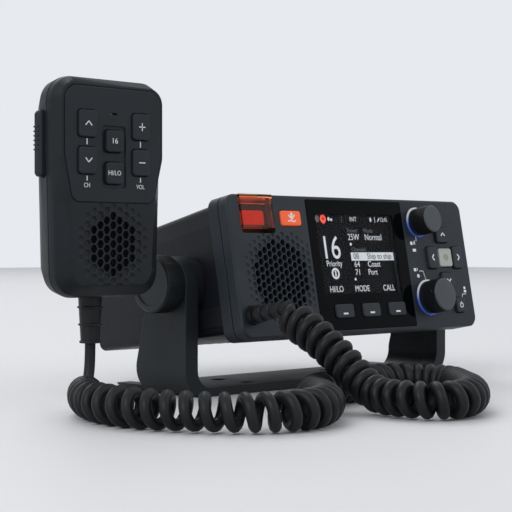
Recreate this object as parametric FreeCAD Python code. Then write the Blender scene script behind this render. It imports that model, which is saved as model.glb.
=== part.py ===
"""Fixed-mount VHF marine radio: a wide control head that tilts in a gimbal bracket, and a fist microphone
on a curly cord.

Millimetres. X is the width, Y the depth (front at -Y) and Z is up. The origin is on the floor, under the
middle of the bracket's base. The radio's own pieces are modelled square, with their origin on the gimbal
axis, and tilted into place at the end. The handset is modelled with its origin on the front of its face.
"""

import FreeCAD, Part
import math
import os

Vec = FreeCAD.Vector

# ---- Driving dimensions ------------------------------------------------------------------------------

# Control head, from the front
panel_width = 190.0
panel_height = 74.0
panel_corner = 6.0
panel_skin = 3.0
bezel_depth = 14.0
bezel_edge = 1.0
bezel_band = 6.4
bezel_groove = 0.8
bezel_ledge = 1.9
radio_depth = 120.0

# Rear case
case_side_inset = 4.75
case_top_inset = 1.5
case_fit = 0.25
case_overlap = 3.0
case_wall = 2.4
case_back_wall = 6.0
case_draft = 3.0
case_corner = 4.0
shoulder_height = 10.6
shoulder_in = 1.6
skirt_height = 14.7
skirt_proud = 1.2
skirt_start = 0.8
skirt_end = 70.0
fin_count = 10
fin_pitch = 8.0
fin_slot = 3.0
fin_slot_depth = 3.5
gasket_thickness = 1.0

# Gimbal
axis_behind_front = 40.0
axis_below_centre = 2.0
axis_height = 58.0
axis_forward = 16.0
rest_tilt = 10.7
stud_diameter = 6.0
insert_diameter = 9.0
insert_length = 11.0
insert_boss = 16.0
friction_washer = 27.0
friction_thickness = 6.5
knob_washer_thickness = 0.8
knob_washer = 20.0
gimbal_knob = 29.0
gimbal_knob_length = 11.0
gimbal_knob_dish = 22.0
gimbal_knob_dish_depth = 0.9
stud_in_knob = 7.5

# Bracket
arm_thickness = 8.5
arm_head = 14.0
arm_foot = 39.0
arm_foot_height = 16.0
arm_rim = 10.0
arm_recess = 1.0
base_depth = 60.0
base_thickness = 4.5
bracket_bend = 14.0
foot_corner = 9.5
base_hole = 4.5
base_hole_across = 88.0
base_hole_along = 24.0
base_hole_sink = 9.0

# Screen
glass_left = 56.9
glass_right = 55.2
glass_margin = 1.85
glass_thickness = 1.3
glass_corner = 1.0
window_left = 6.1
window_right = 8.8
window_top = 7.4
window_bottom = 19.45
lcd_border = 2.2
lcd_thickness = 4.0

# Keys of the control head
key_gap = 0.25
key_lip = 0.5
key_lip_thickness = 1.0
key_stem = 3.0
key_travel = 1.0
key_seat = 0.15
key_proud = 1.8
key_corner = 1.4
soft_key_height = 7.4
soft_key_left_margin = 12.125
soft_key_right_margin = 8.825
soft_key_spacing = 7.7
soft_key_above_edge = 8.3
soft_key_proud = 1.2
pad_from_right = 22.7
pad_above_centre = 3.3
select_width = 11.3
select_height = 10.5
pad_key_gap = 1.45
side_key_width = 8.3
side_key_height = 12.5
end_key_width = 11.0
end_key_height = 8.4
end_key_gap = 3.6
power_key_size = 8.4
power_from_right = 14.5
power_above_edge = 12.5
mob_left = 37.0
mob_width = 14.4
mob_top = 8.3
mob_height = 7.9
mob_proud = 1.0

# Distress button under its flip-up cover
cover_left = 8.8
cover_width = 23.2
cover_height = 17.5
cover_gap = 0.25
cover_wall = 1.4
cover_proud = 0.6
cover_side_depth = 4.0
cover_barrel = 1.9
cover_axis_depth = 6.2
finger_notch = 2.6
pocket_depth = 9.0
pocket_wall = 1.2
hinge_pin = 1.6
hinge_pin_grip = 2.5
distress_width = 17.4
distress_height = 7.8
distress_above_cover_edge = 2.2
distress_sunk = 4.4
distress_travel = 1.2

# Rotary knobs of the control head
upper_knob_from_right = 42.5
upper_knob_from_top = 13.2
upper_knob_diameter = 15.3
lower_knob_from_right = 41.1
lower_knob_from_bottom = 17.5
lower_knob_diameter = 18.5
knob_height = 12.4
knob_edge = 0.8
ring_width = 1.15
ring_proud = 0.4
ring_seat = 1.2
ring_inner = 10.0
shaft_diameter = 4.0
shaft_in_knob = 7.5
knob_travel = 1.2
knob_lift = 0.6
encoder_size = 12.0
encoder_body = 6.5
encoder_bush = 7.0

# Loudspeaker of the control head
speaker_from_left = 33.0
speaker_from_bottom = 31.0
grille_radius = 19.5
grille_pitch = 4.0
grille_web = 0.7
speaker_rim = 41.0
speaker_rim_thickness = 2.5
speaker_cone_depth = 6.0
speaker_magnet = 26.0
speaker_magnet_depth = 7.0

# Boards and fixings
board_depth = 14.0
board_thickness = 1.6
board_edge = 5.0
post_diameter = 6.0
post_beside_glass = 0.9
post_from_top = 15.0
post_from_bottom = 15.0
screw_diameter = 3.0
screw_head = 5.6
screw_head_height = 3.0
screw_recess = 6.4
screw_bite = 8.5
screw_grip = 8.0
main_board_width = 150.0
main_board_length = 80.0
main_board_drop = 12.0
standoff_diameter = 6.0
standoff_inset = 8.0

# Rear sockets
socket_from_side = 33.0
antenna_barrel = 15.875
antenna_length = 14.0
antenna_flange = 20.0
antenna_bore = 4.2
power_barrel = 17.0
power_length = 9.0
power_bore = 13.0
power_bore_depth = 7.0
power_flange = 22.0
socket_flange_thickness = 2.0
socket_neck = 12.0
socket_nut_thickness = 2.5

# Microphone cord where it leaves the panel
boot_from_left = 8.0
boot_from_bottom = 12.0
boot_collar = 10.0
boot_collar_length = 3.0
boot_length = 27.0
boot_tip = 6.0
boot_neck = 6.0
boot_clip = 8.0
boot_clip_thickness = 1.5

# Handset
handset_across = -162.1
handset_front = -42.8
handset_height = 126.1
handset_seam = 8.1
handset_edge = 4.8
handset_seal_thickness = 0.8
handset_depth = 25.0
handset_wall = 2.2
seal_inset = 0.25
plate_half_width = 28.3
plate_waist = 23.8
plate_top = 25.2
plate_bottom = 28.5
plate_thickness = 1.4
plate_proud = 0.5
plate_gap = 0.1
plate_corner = 7.0
plate_low_corner = 4.5
key_column = 16.0
hand_key_width = 10.2
hand_key_height = 12.5
hand_key_upper = 7.75
hand_key_lower = 9.25
middle_key_size = 10.2
middle_key_upper = 0.25
middle_key_lower = 14.75
middle_pocket_border = 2.0
middle_pocket_depth = 0.8
hand_key_proud = 1.4
hand_key_corner = 1.6
hand_grille_below = 48.0
hand_grille_radius = 15.0
hand_grille_pitch = 4.4
hand_speaker = 32.0
hand_speaker_rim = 2.0
hand_speaker_cone = 2.5
hand_speaker_magnet_depth = 3.5
hand_board_half_width = 20.5
hand_board_top = 15.4
hand_board_bottom = 27.5
hand_board_depth = 9.5
mic_slot_width = 4.2
mic_slot_height = 1.0
mic_slot_above = 13.0
mic_capsule = 6.0
mic_capsule_depth = 3.0
mic_holder = 4.0
ptt_top = 13.5
ptt_bottom = 17.0
ptt_front = 10.4
ptt_width = 5.1
ptt_proud = 2.7
ptt_inside = 2.0
ptt_lip = 1.3
ptt_root = 6.6
ptt_gap = 0.3
hanger_head = 13.0
hanger_head_thickness = 2.5
hanger_stem = 6.0
hanger_reach = 3.0
hanger_height = 8.0
hand_boot_depth = 17.8
hand_boot_collar = 11.5
hand_boot_tip = 9.0
hand_boot_length = 22.0
hand_boot_neck_length = 7.0
hand_post = 6.4
hand_post_inside_seam = 10.4
hand_post_above = 19.0
hand_post_below = 60.0
hand_screw = 2.6
hand_screw_bite = 5.5
hand_screw_seat = 5.0
hand_screw_head = 4.8
hand_screw_head_height = 2.2
hand_screw_recess = 5.4

# Curly cord
coil_diameter = 18.0
lead_diameter = 5.0

# Fits
press = 0.02
running = 0.05
seat = 0.1
spare = 0.5

# ---- Places that follow from them --------------------------------------------------------------------

front = -axis_behind_front
panel_left = -panel_width / 2
panel_right = panel_width / 2
panel_top = axis_below_centre + panel_height / 2
panel_bottom = panel_top - panel_height
panel_back = front + panel_skin
bezel_back = front + bezel_depth
case_front = bezel_back - case_overlap
case_back = front + radio_depth
case_half = panel_width / 2 - case_side_inset
case_top = panel_top - case_top_inset
case_bottom = panel_bottom + case_side_inset
board_front = front + board_depth
board_back = board_front + board_thickness
arm_inner = case_half + friction_thickness + seat
arm_outer = arm_inner + arm_thickness
glass_x0 = panel_left + glass_left
glass_x1 = panel_right - glass_right
glass_z0 = panel_bottom + glass_margin
glass_z1 = panel_top - glass_margin
cover_axis = (front + cover_axis_depth, panel_top - cover_barrel)

# ---- Shapes ------------------------------------------------------------------------------------------


def across(y):
    """Places a flat outline's points in the plane square to Y."""
    return lambda a, b: Vec(a, y, b)


def lengthwise(x):
    """Places a flat outline's points in the plane square to X."""
    return lambda a, b: Vec(x, a, b)


def rounded_wire(corners, place):
    """Closed wire through corners (a, b, radius), each rounded by its radius."""
    turns = []
    for i, (a, b, radius) in enumerate(corners):
        here = place(a, b)
        before = place(*corners[i - 1][:2]) - here
        after = place(*corners[(i + 1) % len(corners)][:2]) - here
        before.normalize()
        after.normalize()
        half = before.getAngle(after) / 2
        inward = before + after
        inward.normalize()
        start = here + before * (radius / math.tan(half))
        end = here + after * (radius / math.tan(half))
        turns.append((start, here + inward * (radius / math.sin(half) - radius), end, radius))
    edges = []
    for i, (start, middle, end, radius) in enumerate(turns):
        if radius > 0:
            edges.append(Part.Arc(start, middle, end).toShape())
        edges.append(Part.LineSegment(end, turns[(i + 1) % len(turns)][0]).toShape())
    return Part.Wire(edges)


def prism(corners, y0, y1):
    """Solid with the outline's corners, from depth y0 to y1."""
    return Part.Face(rounded_wire(corners, across(y0))).extrude(Vec(0, y1 - y0, 0))


def oblong(x0, x1, z0, z1, radius):
    return [(x0, z0, radius), (x1, z0, radius), (x1, z1, radius), (x0, z1, radius)]


def slab(x0, x1, z0, z1, y0, y1, radius=0.0):
    return prism(oblong(x0, x1, z0, z1, radius), y0, y1)


def rod(diameter, y0, y1, x=0.0, z=0.0):
    """Cylinder along Y."""
    return Part.makeCylinder(diameter / 2, y1 - y0, Vec(x, y0, z), Vec(0, 1, 0))


def pin(diameter, x0, x1, y=0.0, z=0.0):
    """Cylinder along X."""
    return Part.makeCylinder(diameter / 2, x1 - x0, Vec(x0, y, z), Vec(1, 0, 0))


def loft(wires):
    return Part.makeLoft(wires, True, True)


def edges_at(shape, y):
    """The edges that lie in the plane at depth y."""
    return [e for e in shape.Edges if all(abs(v.Point.y - y) < 1e-6 for v in e.Vertexes)]


def chamfered(shape, y, size):
    return shape.makeChamfer(size, edges_at(shape, y))


def hex_prism(x, z, flats, y0, y1):
    """Hexagonal prism with flat top and bottom."""
    reach = flats / math.sqrt(3)
    points = [
        Vec(x + reach * math.cos(math.radians(60 * i)), y0, z + reach * math.sin(math.radians(60 * i)))
        for i in range(6)
    ]
    return Part.Face(Part.makePolygon(points + points[:1])).extrude(Vec(0, y1 - y0, 0))


def honeycomb(x, z, radius, pitch, web, y0, y1):
    """Hexagonal holes on a staggered grid, those whose middles lie within the radius."""
    column = pitch * math.sqrt(3) / 2
    count = math.ceil(radius / column)
    holes = []
    for i in range(-count, count + 1):
        shift = pitch / 2 * (i % 2)
        for j in range(-count, count + 1):
            dx, dz = i * column, j * pitch + shift
            if math.hypot(dx, dz) <= radius:
                holes.append(hex_prism(x + dx, z + dz, pitch - web, y0, y1))
    return Part.makeCompound(holes)


def tilted(shape):
    """A piece of the radio at its resting tilt in the bracket."""
    placed = shape.copy()
    placed.rotate(Vec(0, 0, 0), Vec(1, 0, 0), -rest_tilt)
    placed.translate(Vec(0, -axis_forward, axis_height))
    return placed


def in_handset(shape):
    placed = shape.copy()
    placed.translate(Vec(handset_across, handset_front, handset_height))
    return placed


def export(name, *solids):
    shape = solids[0] if len(solids) == 1 else Part.makeCompound(solids)
    shape.exportStep(f"parts/{name}.step")
    print(f"{name:24s} {len(shape.Solids)} solids {shape.Volume:10.1f} mm3 valid {shape.isValid()}")


# ---- Bracket and gimbal ------------------------------------------------------------------------------


def bay(grow, top):
    """Corners of the space between the arms, grown into the bracket, up to the given height."""
    half = arm_inner + grow
    bend = bracket_bend - base_thickness + grow
    floor = base_thickness - grow
    return [(-half, floor, bend), (half, floor, bend), (half, top, 0), (-half, top, 0)]


def bracket():
    """U-shaped bracket: the arms taper to a round head on the tilt axis."""
    top = axis_height + arm_head
    outside = [(-arm_outer, 0, bracket_bend), (arm_outer, 0, bracket_bend), (arm_outer, top, 0), (-arm_outer, top, 0)]
    y0, y1 = -base_depth / 2, base_depth / 2
    arm_y = -axis_forward
    foot_y = arm_y - arm_head + arm_foot
    low_y0, low_y1 = min(y0, arm_y - arm_head), max(y1, foot_y)
    channel = prism(outside, low_y0, low_y1).cut(prism(bay(0, top + 1), low_y0, low_y1))
    reach = math.hypot(foot_y - arm_y, arm_foot_height - axis_height)
    turn = math.atan2(arm_foot_height - axis_height, foot_y - arm_y) + math.acos(arm_head / reach)
    side = [
        (arm_y - arm_head, 0, 0),
        (foot_y, 0, 0),
        (foot_y, arm_foot_height, foot_corner),
        (arm_y + arm_head * math.cos(turn), axis_height + arm_head * math.sin(turn), 0),
        (arm_y - arm_head, axis_height, 0),
    ]
    silhouette = Part.Face(rounded_wire(side, lengthwise(-arm_outer))).extrude(Vec(2 * arm_outer, 0, 0))
    base = Part.makeBox(2 * arm_outer, base_depth, base_thickness, Vec(-arm_outer, y0, 0))
    head = pin(2 * arm_head, -arm_outer, arm_outer, arm_y, axis_height)
    shape = channel.common(silhouette.fuse([base, head]))
    cutters = [pin(stud_diameter + 2 * running, -arm_outer - 1, arm_outer + 1, arm_y, axis_height)]
    cutters.append(prism(bay(arm_recess, axis_height - arm_head), y0 + arm_rim, low_y1))
    floor = base_thickness - arm_recess
    sink = (base_hole_sink - base_hole) / 2
    for x in (-base_hole_across / 2, base_hole_across / 2):
        for y in (-base_hole_along / 2, base_hole_along / 2):
            cutters.append(Part.makeCylinder(base_hole / 2, base_thickness, Vec(x, y, 0)))
            cutters.append(Part.makeCone(base_hole / 2, base_hole_sink / 2, sink, Vec(x, y, floor - sink)))
    return shape.cut(cutters).removeSplitter()


def ring_x(outer, inner, x0, x1):
    """Flat ring about the gimbal axis, as placed in the bracket."""
    return pin(outer, x0, x1, -axis_forward, axis_height).cut(pin(inner, x0, x1, -axis_forward, axis_height))


def gimbal(side):
    """Friction washer, steel washer, knob and stud on one side (-1 left, 1 right)."""
    loose = stud_diameter + 2 * running
    knob_from = arm_outer + knob_washer_thickness
    knob_to = knob_from + gimbal_knob_length
    stud_to = knob_from + stud_in_knob
    stud_from = case_half - insert_length + 1

    rubber = ring_x(friction_washer, loose, case_half + seat, arm_inner)
    washer = ring_x(knob_washer, loose, arm_outer, knob_from)
    stud = pin(stud_diameter, stud_from, stud_to, -axis_forward, axis_height)
    knob = pin(gimbal_knob, knob_from, knob_to, -axis_forward, axis_height)
    rim = [e for e in knob.Edges if abs(e.CenterOfMass.x - knob_to) < 1e-6 and len(e.Vertexes) == 1]
    knob = knob.makeChamfer(bezel_edge, rim)
    knob = knob.cut(pin(gimbal_knob_dish, knob_to - gimbal_knob_dish_depth, knob_to, -axis_forward, axis_height))
    knob = knob.cut(pin(stud_diameter + 2 * press, knob_from, stud_to + press, -axis_forward, axis_height))
    pieces = [rubber, washer, knob, stud]
    if side < 0:
        pieces = [piece.mirror(Vec(0, 0, 0), Vec(1, 0, 0)) for piece in pieces]
    return pieces


# ---- Control head ------------------------------------------------------------------------------------


def case_section(y, inset):
    """Corners of the rear case's outline at depth y, moved inwards by the inset."""
    drop = (y - case_front) * math.tan(math.radians(case_draft))
    half = case_half - inset
    low = case_bottom + drop + inset
    high = case_top - drop - inset
    corner = max(case_corner - inset, 0.5)
    shoulder = high - shoulder_height
    return [
        (-half, low, corner),
        (half, low, corner),
        (half, shoulder, corner),
        (half - shoulder_in, high, corner),
        (-half + shoulder_in, high, corner),
        (-half, shoulder, corner),
    ]


def case_loft(y0, y1, inset):
    return loft([rounded_wire(case_section(y, inset), across(y)) for y in (y0, y1)])


def panel_keys():
    """Name, outline box (x0, x1, z0, z1) and proud height of each key of the control head."""
    pad_x = panel_right - pad_from_right
    pad_z = panel_bottom + panel_height / 2 + pad_above_centre
    half_w, half_h = select_width / 2, select_height / 2
    keys = {"select_key": (pad_x - half_w, pad_x + half_w, pad_z - half_h, pad_z + half_h, key_proud)}
    side = half_w + pad_key_gap
    keys["left_key"] = (
        pad_x - side - side_key_width,
        pad_x - side,
        pad_z - side_key_height / 2,
        pad_z + side_key_height / 2,
        key_proud,
    )
    keys["right_key"] = (
        pad_x + side,
        pad_x + side + side_key_width,
        pad_z - side_key_height / 2,
        pad_z + side_key_height / 2,
        key_proud,
    )
    end = half_h + end_key_gap
    ends = (pad_x - end_key_width / 2, pad_x + end_key_width / 2)
    keys["up_key"] = (*ends, pad_z + end, pad_z + end + end_key_height, key_proud)
    keys["down_key"] = (*ends, pad_z - end - end_key_height, pad_z - end, key_proud)
    power_x = panel_right - power_from_right
    power_z = panel_bottom + power_above_edge
    half = power_key_size / 2
    keys["power_key"] = (power_x - half, power_x + half, power_z - half, power_z + half, key_proud)
    mob_x = panel_left + mob_left
    mob_z = panel_top - mob_top
    keys["mob_key"] = (mob_x, mob_x + mob_width, mob_z - mob_height, mob_z, mob_proud)
    row_start = glass_x0 + soft_key_left_margin
    row_end = glass_x1 - soft_key_right_margin
    soft_key_width = (row_end - row_start - 2 * soft_key_spacing) / 3
    for i, name in enumerate(("soft_key_left", "soft_key_middle", "soft_key_right")):
        x = row_start + i * (soft_key_width + soft_key_spacing)
        z = panel_bottom + soft_key_above_edge
        keys[name] = (x, x + soft_key_width, z, z + soft_key_height, soft_key_proud)
    return keys


def push_key(x0, x1, z0, z1, face, back, stem_end, corner):
    """Key cap with a retaining lip behind the panel and a stem that works the switch."""
    cap = slab(x0, x1, z0, z1, face, back + key_seat, corner)
    cap = chamfered(cap, face, min(0.4, corner / 2))
    lip = slab(x0 - key_lip, x1 + key_lip, z0 - key_lip, z1 + key_lip, back + key_seat,
               back + key_seat + key_lip_thickness, corner)
    stem = rod(key_stem, back + key_seat + key_lip_thickness, stem_end, (x0 + x1) / 2, (z0 + z1) / 2)
    return cap.fuse([lip, stem]).removeSplitter()


def key_hole(x0, x1, z0, z1, y0, y1, corner):
    return slab(x0 - key_gap, x1 + key_gap, z0 - key_gap, z1 + key_gap, y0, y1, corner)


def knobs():
    """Name, centre and diameter of each rotary knob."""
    return {
        "upper": (panel_right - upper_knob_from_right, panel_top - upper_knob_from_top, upper_knob_diameter),
        "lower": (panel_right - lower_knob_from_right, panel_bottom + lower_knob_from_bottom, lower_knob_diameter),
    }


def post_places():
    """Where the four case screws run: beside the screen, clear of the tapering case."""
    xs = (glass_x0 - post_beside_glass, glass_x1 + post_beside_glass + post_diameter / 4)
    zs = (panel_top - post_from_top, panel_bottom + post_from_bottom)
    return [(x, z) for x in xs for z in zs]


def speaker_place():
    return panel_left + speaker_from_left, panel_bottom + speaker_from_bottom


def socket_places():
    return panel_left + socket_from_side, panel_right - socket_from_side


def boot_place():
    return panel_left + boot_from_left, panel_bottom + boot_from_bottom


def distress_box():
    """Outline of the distress button (x0, x1, z0, z1)."""
    middle = panel_left + cover_left + cover_width / 2
    low = panel_top - cover_height + distress_above_cover_edge
    return middle - distress_width / 2, middle + distress_width / 2, low, low + distress_height


def front_bezel():
    outer = slab(panel_left, panel_right, panel_bottom, panel_top, front, bezel_back, panel_corner)
    shape = chamfered(outer, front, bezel_edge)
    y0 = front + bezel_band
    band = slab(panel_left, panel_right, panel_bottom, panel_top, y0, y0 + bezel_groove, panel_corner)
    core = slab(panel_left + bezel_groove, panel_right - bezel_groove, panel_bottom + bezel_groove,
                panel_top - bezel_groove, y0, y0 + bezel_groove, panel_corner - bezel_groove)
    shape = shape.cut(band.cut(core))
    shape = shape.cut(prism(case_section(case_front, bezel_ledge - case_fit), panel_back, bezel_back))
    shape = shape.cut(prism(case_section(case_front, -case_fit), case_front - gasket_thickness, bezel_back))

    pocket_x0 = panel_left + cover_left - cover_gap
    pocket_x1 = panel_left + cover_left + cover_width + cover_gap
    pocket_z0 = panel_top - cover_height - finger_notch
    housing = slab(pocket_x0 - pocket_wall, pocket_x1 + pocket_wall, pocket_z0 - pocket_wall, case_top,
                   panel_back, front + pocket_depth + pocket_wall)
    housing = housing.common(prism(case_section(case_front, bezel_ledge), panel_back, bezel_back))
    posts = [rod(post_diameter, panel_back, board_front, x, z) for x, z in post_places()]
    shape = shape.fuse([housing] + posts)

    cutters = [slab(pocket_x0, pocket_x1, pocket_z0, panel_top + 2 * key_corner, front - 1, front + pocket_depth,
                    key_corner)]
    pin_x0 = panel_left + cover_left - cover_gap - hinge_pin_grip
    pin_x1 = pin_x0 + cover_width + 2 * (cover_gap + hinge_pin_grip)
    cutters.append(pin(hinge_pin + 2 * press, pin_x0 - press, pin_x1 + press, *cover_axis))
    x0, x1, z0, z1 = distress_box()
    cutters.append(key_hole(x0, x1, z0, z1, front, board_front, key_corner))

    cutters.append(slab(glass_x0, glass_x1, glass_z0, glass_z1, front - 1, front + glass_thickness + seat,
                        glass_corner))
    cutters.append(slab(glass_x0 + window_left, glass_x1 - window_right, glass_z0 + window_bottom,
                        glass_z1 - window_top, front, panel_back + 1))
    for name, (x0, x1, z0, z1, proud) in panel_keys().items():
        cutters.append(key_hole(x0, x1, z0, z1, front - 1, panel_back + 1, key_corner))
    for x, z, diameter in knobs().values():
        ring = rod(diameter + 2 * ring_width, front - 1, front + ring_seat, x, z)
        cutters.append(ring.cut(rod(ring_inner - 2 * seat, front - 1, front + ring_seat, x, z)))
        cutters.append(rod(shaft_diameter + 4 * seat, front - 1, panel_back + 1, x, z))
    for x, z in post_places():
        cutters.append(rod(screw_diameter + 2 * press, board_front - screw_bite, board_front, x, z))
    x, z = boot_place()
    cutters.append(rod(boot_neck + 2 * press, front - 1, panel_back + 1, x, z))
    cutters.append(rod(boot_clip + 4 * seat, panel_back, case_front, x, z))
    x, z = speaker_place()
    cutters.append(honeycomb(x, z, grille_radius, grille_pitch, grille_web, front - 1, panel_back + 1))
    return shape.cut(cutters).removeSplitter()


def bezel_gasket():
    y0 = case_front - gasket_thickness + press
    outer = prism(case_section(case_front, press), y0, case_front - press)
    return outer.cut(prism(case_section(case_front, bezel_ledge - case_fit), y0, case_front))


def rear_case():
    shape = case_loft(case_front, case_back, 0).cut(case_loft(case_front - 1, case_back - case_back_wall, case_wall))
    slope = math.tan(math.radians(case_draft))
    y0, y1 = bezel_back + skirt_start, bezel_back + skirt_start + skirt_end
    low0 = case_bottom + (y0 - case_front) * slope + case_corner
    low1 = case_bottom + (y1 - case_front) * slope + case_corner
    rise = skirt_height - case_corner
    side = [(y0, low0, 0), (y1, low1, 0), (y1, low1 + rise, 1), (y0, low0 + rise, 1)]
    extras = []
    for x in (-case_half - skirt_proud, case_half - case_wall / 2):
        skirt = Part.Face(rounded_wire(side, lengthwise(x)))
        extras.append(skirt.extrude(Vec(skirt_proud + case_wall / 2, 0, 0)))
    boss_end = case_half - insert_length
    for x0, x1 in ((-case_half + case_wall / 2, -boss_end), (boss_end, case_half - case_wall / 2)):
        extras.append(pin(insert_boss, min(x0, x1), max(x0, x1)))
    for x, z in post_places():
        extras.append(rod(screw_recess + 2 * pocket_wall, board_back, case_back - case_back_wall / 2, x, z))
    for x in (-main_board_width / 2 + standoff_inset, main_board_width / 2 - standoff_inset):
        for y in (main_board_y0() + standoff_inset, main_board_y0() + main_board_length - standoff_inset):
            floor = case_bottom + (y - case_front) * slope + case_wall / 2
            post_height = -main_board_drop - board_thickness - floor
            post = Part.makeCylinder(standoff_diameter / 2, post_height, Vec(x, y, floor))
            extras.append(post)
    shape = shape.fuse(extras)

    cutters = [pin(insert_diameter + 2 * press, -case_half - 1, -boss_end + 1)]
    cutters.append(pin(insert_diameter + 2 * press, boss_end - 1, case_half + 1))
    seat_y = board_back + screw_grip
    for x, z in post_places():
        cutters.append(rod(screw_diameter + 4 * press, board_back - 1, seat_y + 1, x, z))
        cutters.append(rod(screw_recess, seat_y, case_back + 1, x, z))
    for i in range(fin_count):
        x = (i - (fin_count - 1) / 2) * fin_pitch
        if min(abs(x - px) for px, pz in post_places()) > screw_recess:
            cutters.append(slab(x - fin_slot / 2, x + fin_slot / 2, case_bottom, case_top,
                                case_back - fin_slot_depth, case_back + 1))
    for x in socket_places():
        cutters.append(rod(socket_neck + 2 * seat, case_back - case_back_wall - 1, case_back + 1, x))
    return shape.cut(cutters).removeSplitter()


def main_board_y0():
    return board_back + screw_grip


def main_board():
    board = Part.makeBox(main_board_width, main_board_length, board_thickness - seat)
    board.translate(Vec(-main_board_width / 2, main_board_y0(), -main_board_drop - board_thickness + seat))
    return board


def display_board():
    half = case_half - case_wall - board_edge
    low = case_bottom + case_wall + board_edge / 2
    high = case_top - case_wall - board_edge / 2
    board = slab(-half, half, low, high, board_front + press, board_back - press, 2)
    x, z = speaker_place()
    holes = [rod(speaker_magnet + board_edge, board_front, board_back, x, z)]
    holes += [rod(screw_diameter + 4 * press, board_front, board_back, px, pz) for px, pz in post_places()]
    return board.cut(holes)


def case_screws():
    """Four screws from the back, through the case posts and the display board into the bezel."""
    screws = []
    seat_y = board_back + screw_grip
    for x, z in post_places():
        head = rod(screw_head, seat_y, seat_y + screw_head_height, x, z)
        head = head.cut(rod(screw_head / 2, seat_y + screw_head_height / 2, seat_y + screw_head_height, x, z))
        screws.append(head.fuse(rod(screw_diameter, board_front - screw_bite + spare, seat_y, x, z)).removeSplitter())
    return screws


def screen_glass():
    shape = slab(glass_x0 + seat, glass_x1 - seat, glass_z0 + seat, glass_z1 - seat, front, front + glass_thickness,
                 glass_corner)
    holes = [key_hole(*box[:4], front - 1, panel_back, key_corner)
             for name, box in panel_keys().items() if name.startswith("soft_key")]
    return shape.cut(holes)


def lcd_module():
    return slab(glass_x0 + window_left - lcd_border, glass_x1 - window_right + lcd_border,
                glass_z0 + window_bottom - lcd_border, glass_z1 - window_top + lcd_border,
                panel_back + press, panel_back + lcd_thickness, 1)


def loudspeaker(rim, rim_thickness, cone_depth, magnet, magnet_depth, x, y, z):
    frame = rod(rim, y, y + rim_thickness, x, z)
    cone = Part.makeCone(rim / 2 - 2, magnet / 2, cone_depth, Vec(x, y + rim_thickness, z), Vec(0, 1, 0))
    back = rod(magnet, y + rim_thickness + cone_depth, y + rim_thickness + cone_depth + magnet_depth, x, z)
    dish = Part.makeCone(rim / 2 - 3, magnet / 4, rim_thickness + cone_depth / 2, Vec(x, y, z), Vec(0, 1, 0))
    return frame.fuse([cone, back]).cut(dish).removeSplitter()


def knob_light_rings():
    rings = []
    for x, z, diameter in knobs().values():
        ring = rod(diameter + 2 * (ring_width - seat), front - ring_proud, front + ring_seat - press, x, z)
        rings.append(ring.cut(rod(ring_inner, front - ring_proud, front + ring_seat, x, z)))
    return rings


def knob_encoders():
    encoders = []
    half = encoder_size / 2
    for x, z, diameter in knobs().values():
        body = slab(x - half, x + half, z - half, z + half, board_front - encoder_body, board_front, 0.5)
        body = body.fuse(rod(encoder_bush, panel_back + seat, board_front - encoder_body, x, z))
        bore = rod(shaft_diameter + 2 * running, panel_back, board_front - 1, x, z)
        encoders.append(body.cut(bore).removeSplitter())
    return encoders


def knob_pieces(x, z, diameter):
    """Rotary knob and the shaft that it turns on."""
    face = front - knob_height
    back = front - ring_proud - knob_travel - knob_lift
    knob = chamfered(rod(diameter, face, back, x, z), face, knob_edge)
    knob = knob.cut(rod(shaft_diameter + 2 * running, back - shaft_in_knob - running, back, x, z))
    shaft = rod(shaft_diameter, back - shaft_in_knob, board_front - 1 - knob_travel - knob_lift, x, z)
    return knob, shaft


def distress_cover():
    """Clear cover: a front plate with a top flange back to its hinge barrel, and two side walls."""
    x0, x1 = panel_left + cover_left, panel_left + cover_left + cover_width
    z0, z1 = panel_top - cover_height, panel_top
    face = front - cover_proud
    plate = slab(x0, x1, z0, z1, face, face + cover_wall, 0)
    roof = slab(x0, x1, z1 - cover_wall, z1, face, cover_axis[0], 0)
    lip = slab(x0, x1, z0, z0 + cover_wall, face, front + cover_wall * 2, 0)
    walls = [slab(x, x + cover_wall, z0, z1, face, front + cover_side_depth, 0) for x in (x0, x1 - cover_wall)]
    barrel = pin(2 * cover_barrel, x0, x1, *cover_axis)
    shape = plate.fuse([roof, lip, barrel] + walls)
    return shape.cut(pin(hinge_pin + 2 * running, x0 - 1, x1 + 1, *cover_axis)).removeSplitter()


def distress_hinge_pin():
    x0 = panel_left + cover_left - cover_gap - hinge_pin_grip
    return pin(hinge_pin, x0, x0 + cover_width + 2 * (cover_gap + hinge_pin_grip), *cover_axis)


def distress_button():
    x0, x1, z0, z1 = distress_box()
    floor = front + pocket_depth + pocket_wall
    stem_end = board_front - distress_travel - 2 * key_seat
    return push_key(x0, x1, z0, z1, front + distress_sunk, floor, stem_end, key_corner)


def rear_socket(x, barrel, length, flange, bore, bore_depth):
    inner = case_back - case_back_wall
    outer_face = case_back + socket_flange_thickness
    shape = rod(flange, case_back, outer_face, x)
    shape = shape.fuse([
        rod(barrel, outer_face, outer_face + length, x),
        rod(socket_neck, inner - socket_nut_thickness, case_back, x),
        rod(flange - socket_flange_thickness, inner - socket_nut_thickness, inner, x),
    ])
    end = outer_face + length
    return shape.cut(rod(bore, end - bore_depth, end, x)).removeSplitter()


def mic_cord_boot():
    """Rubber strain relief with a collar on the panel and a clip behind its skin."""
    x, z = boot_place()
    collar = rod(boot_collar, front - boot_collar_length, front, x, z)
    taper = Part.makeCone(boot_tip / 2, boot_collar / 2 - 1, boot_length - boot_collar_length,
                          Vec(x, front - boot_length, z), Vec(0, 1, 0))
    neck = rod(boot_neck, front, panel_back, x, z)
    clip = rod(boot_clip, panel_back, panel_back + boot_clip_thickness, x, z)
    return collar.fuse([taper, neck, clip]).removeSplitter()


# ---- Handset -----------------------------------------------------------------------------------------

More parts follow.
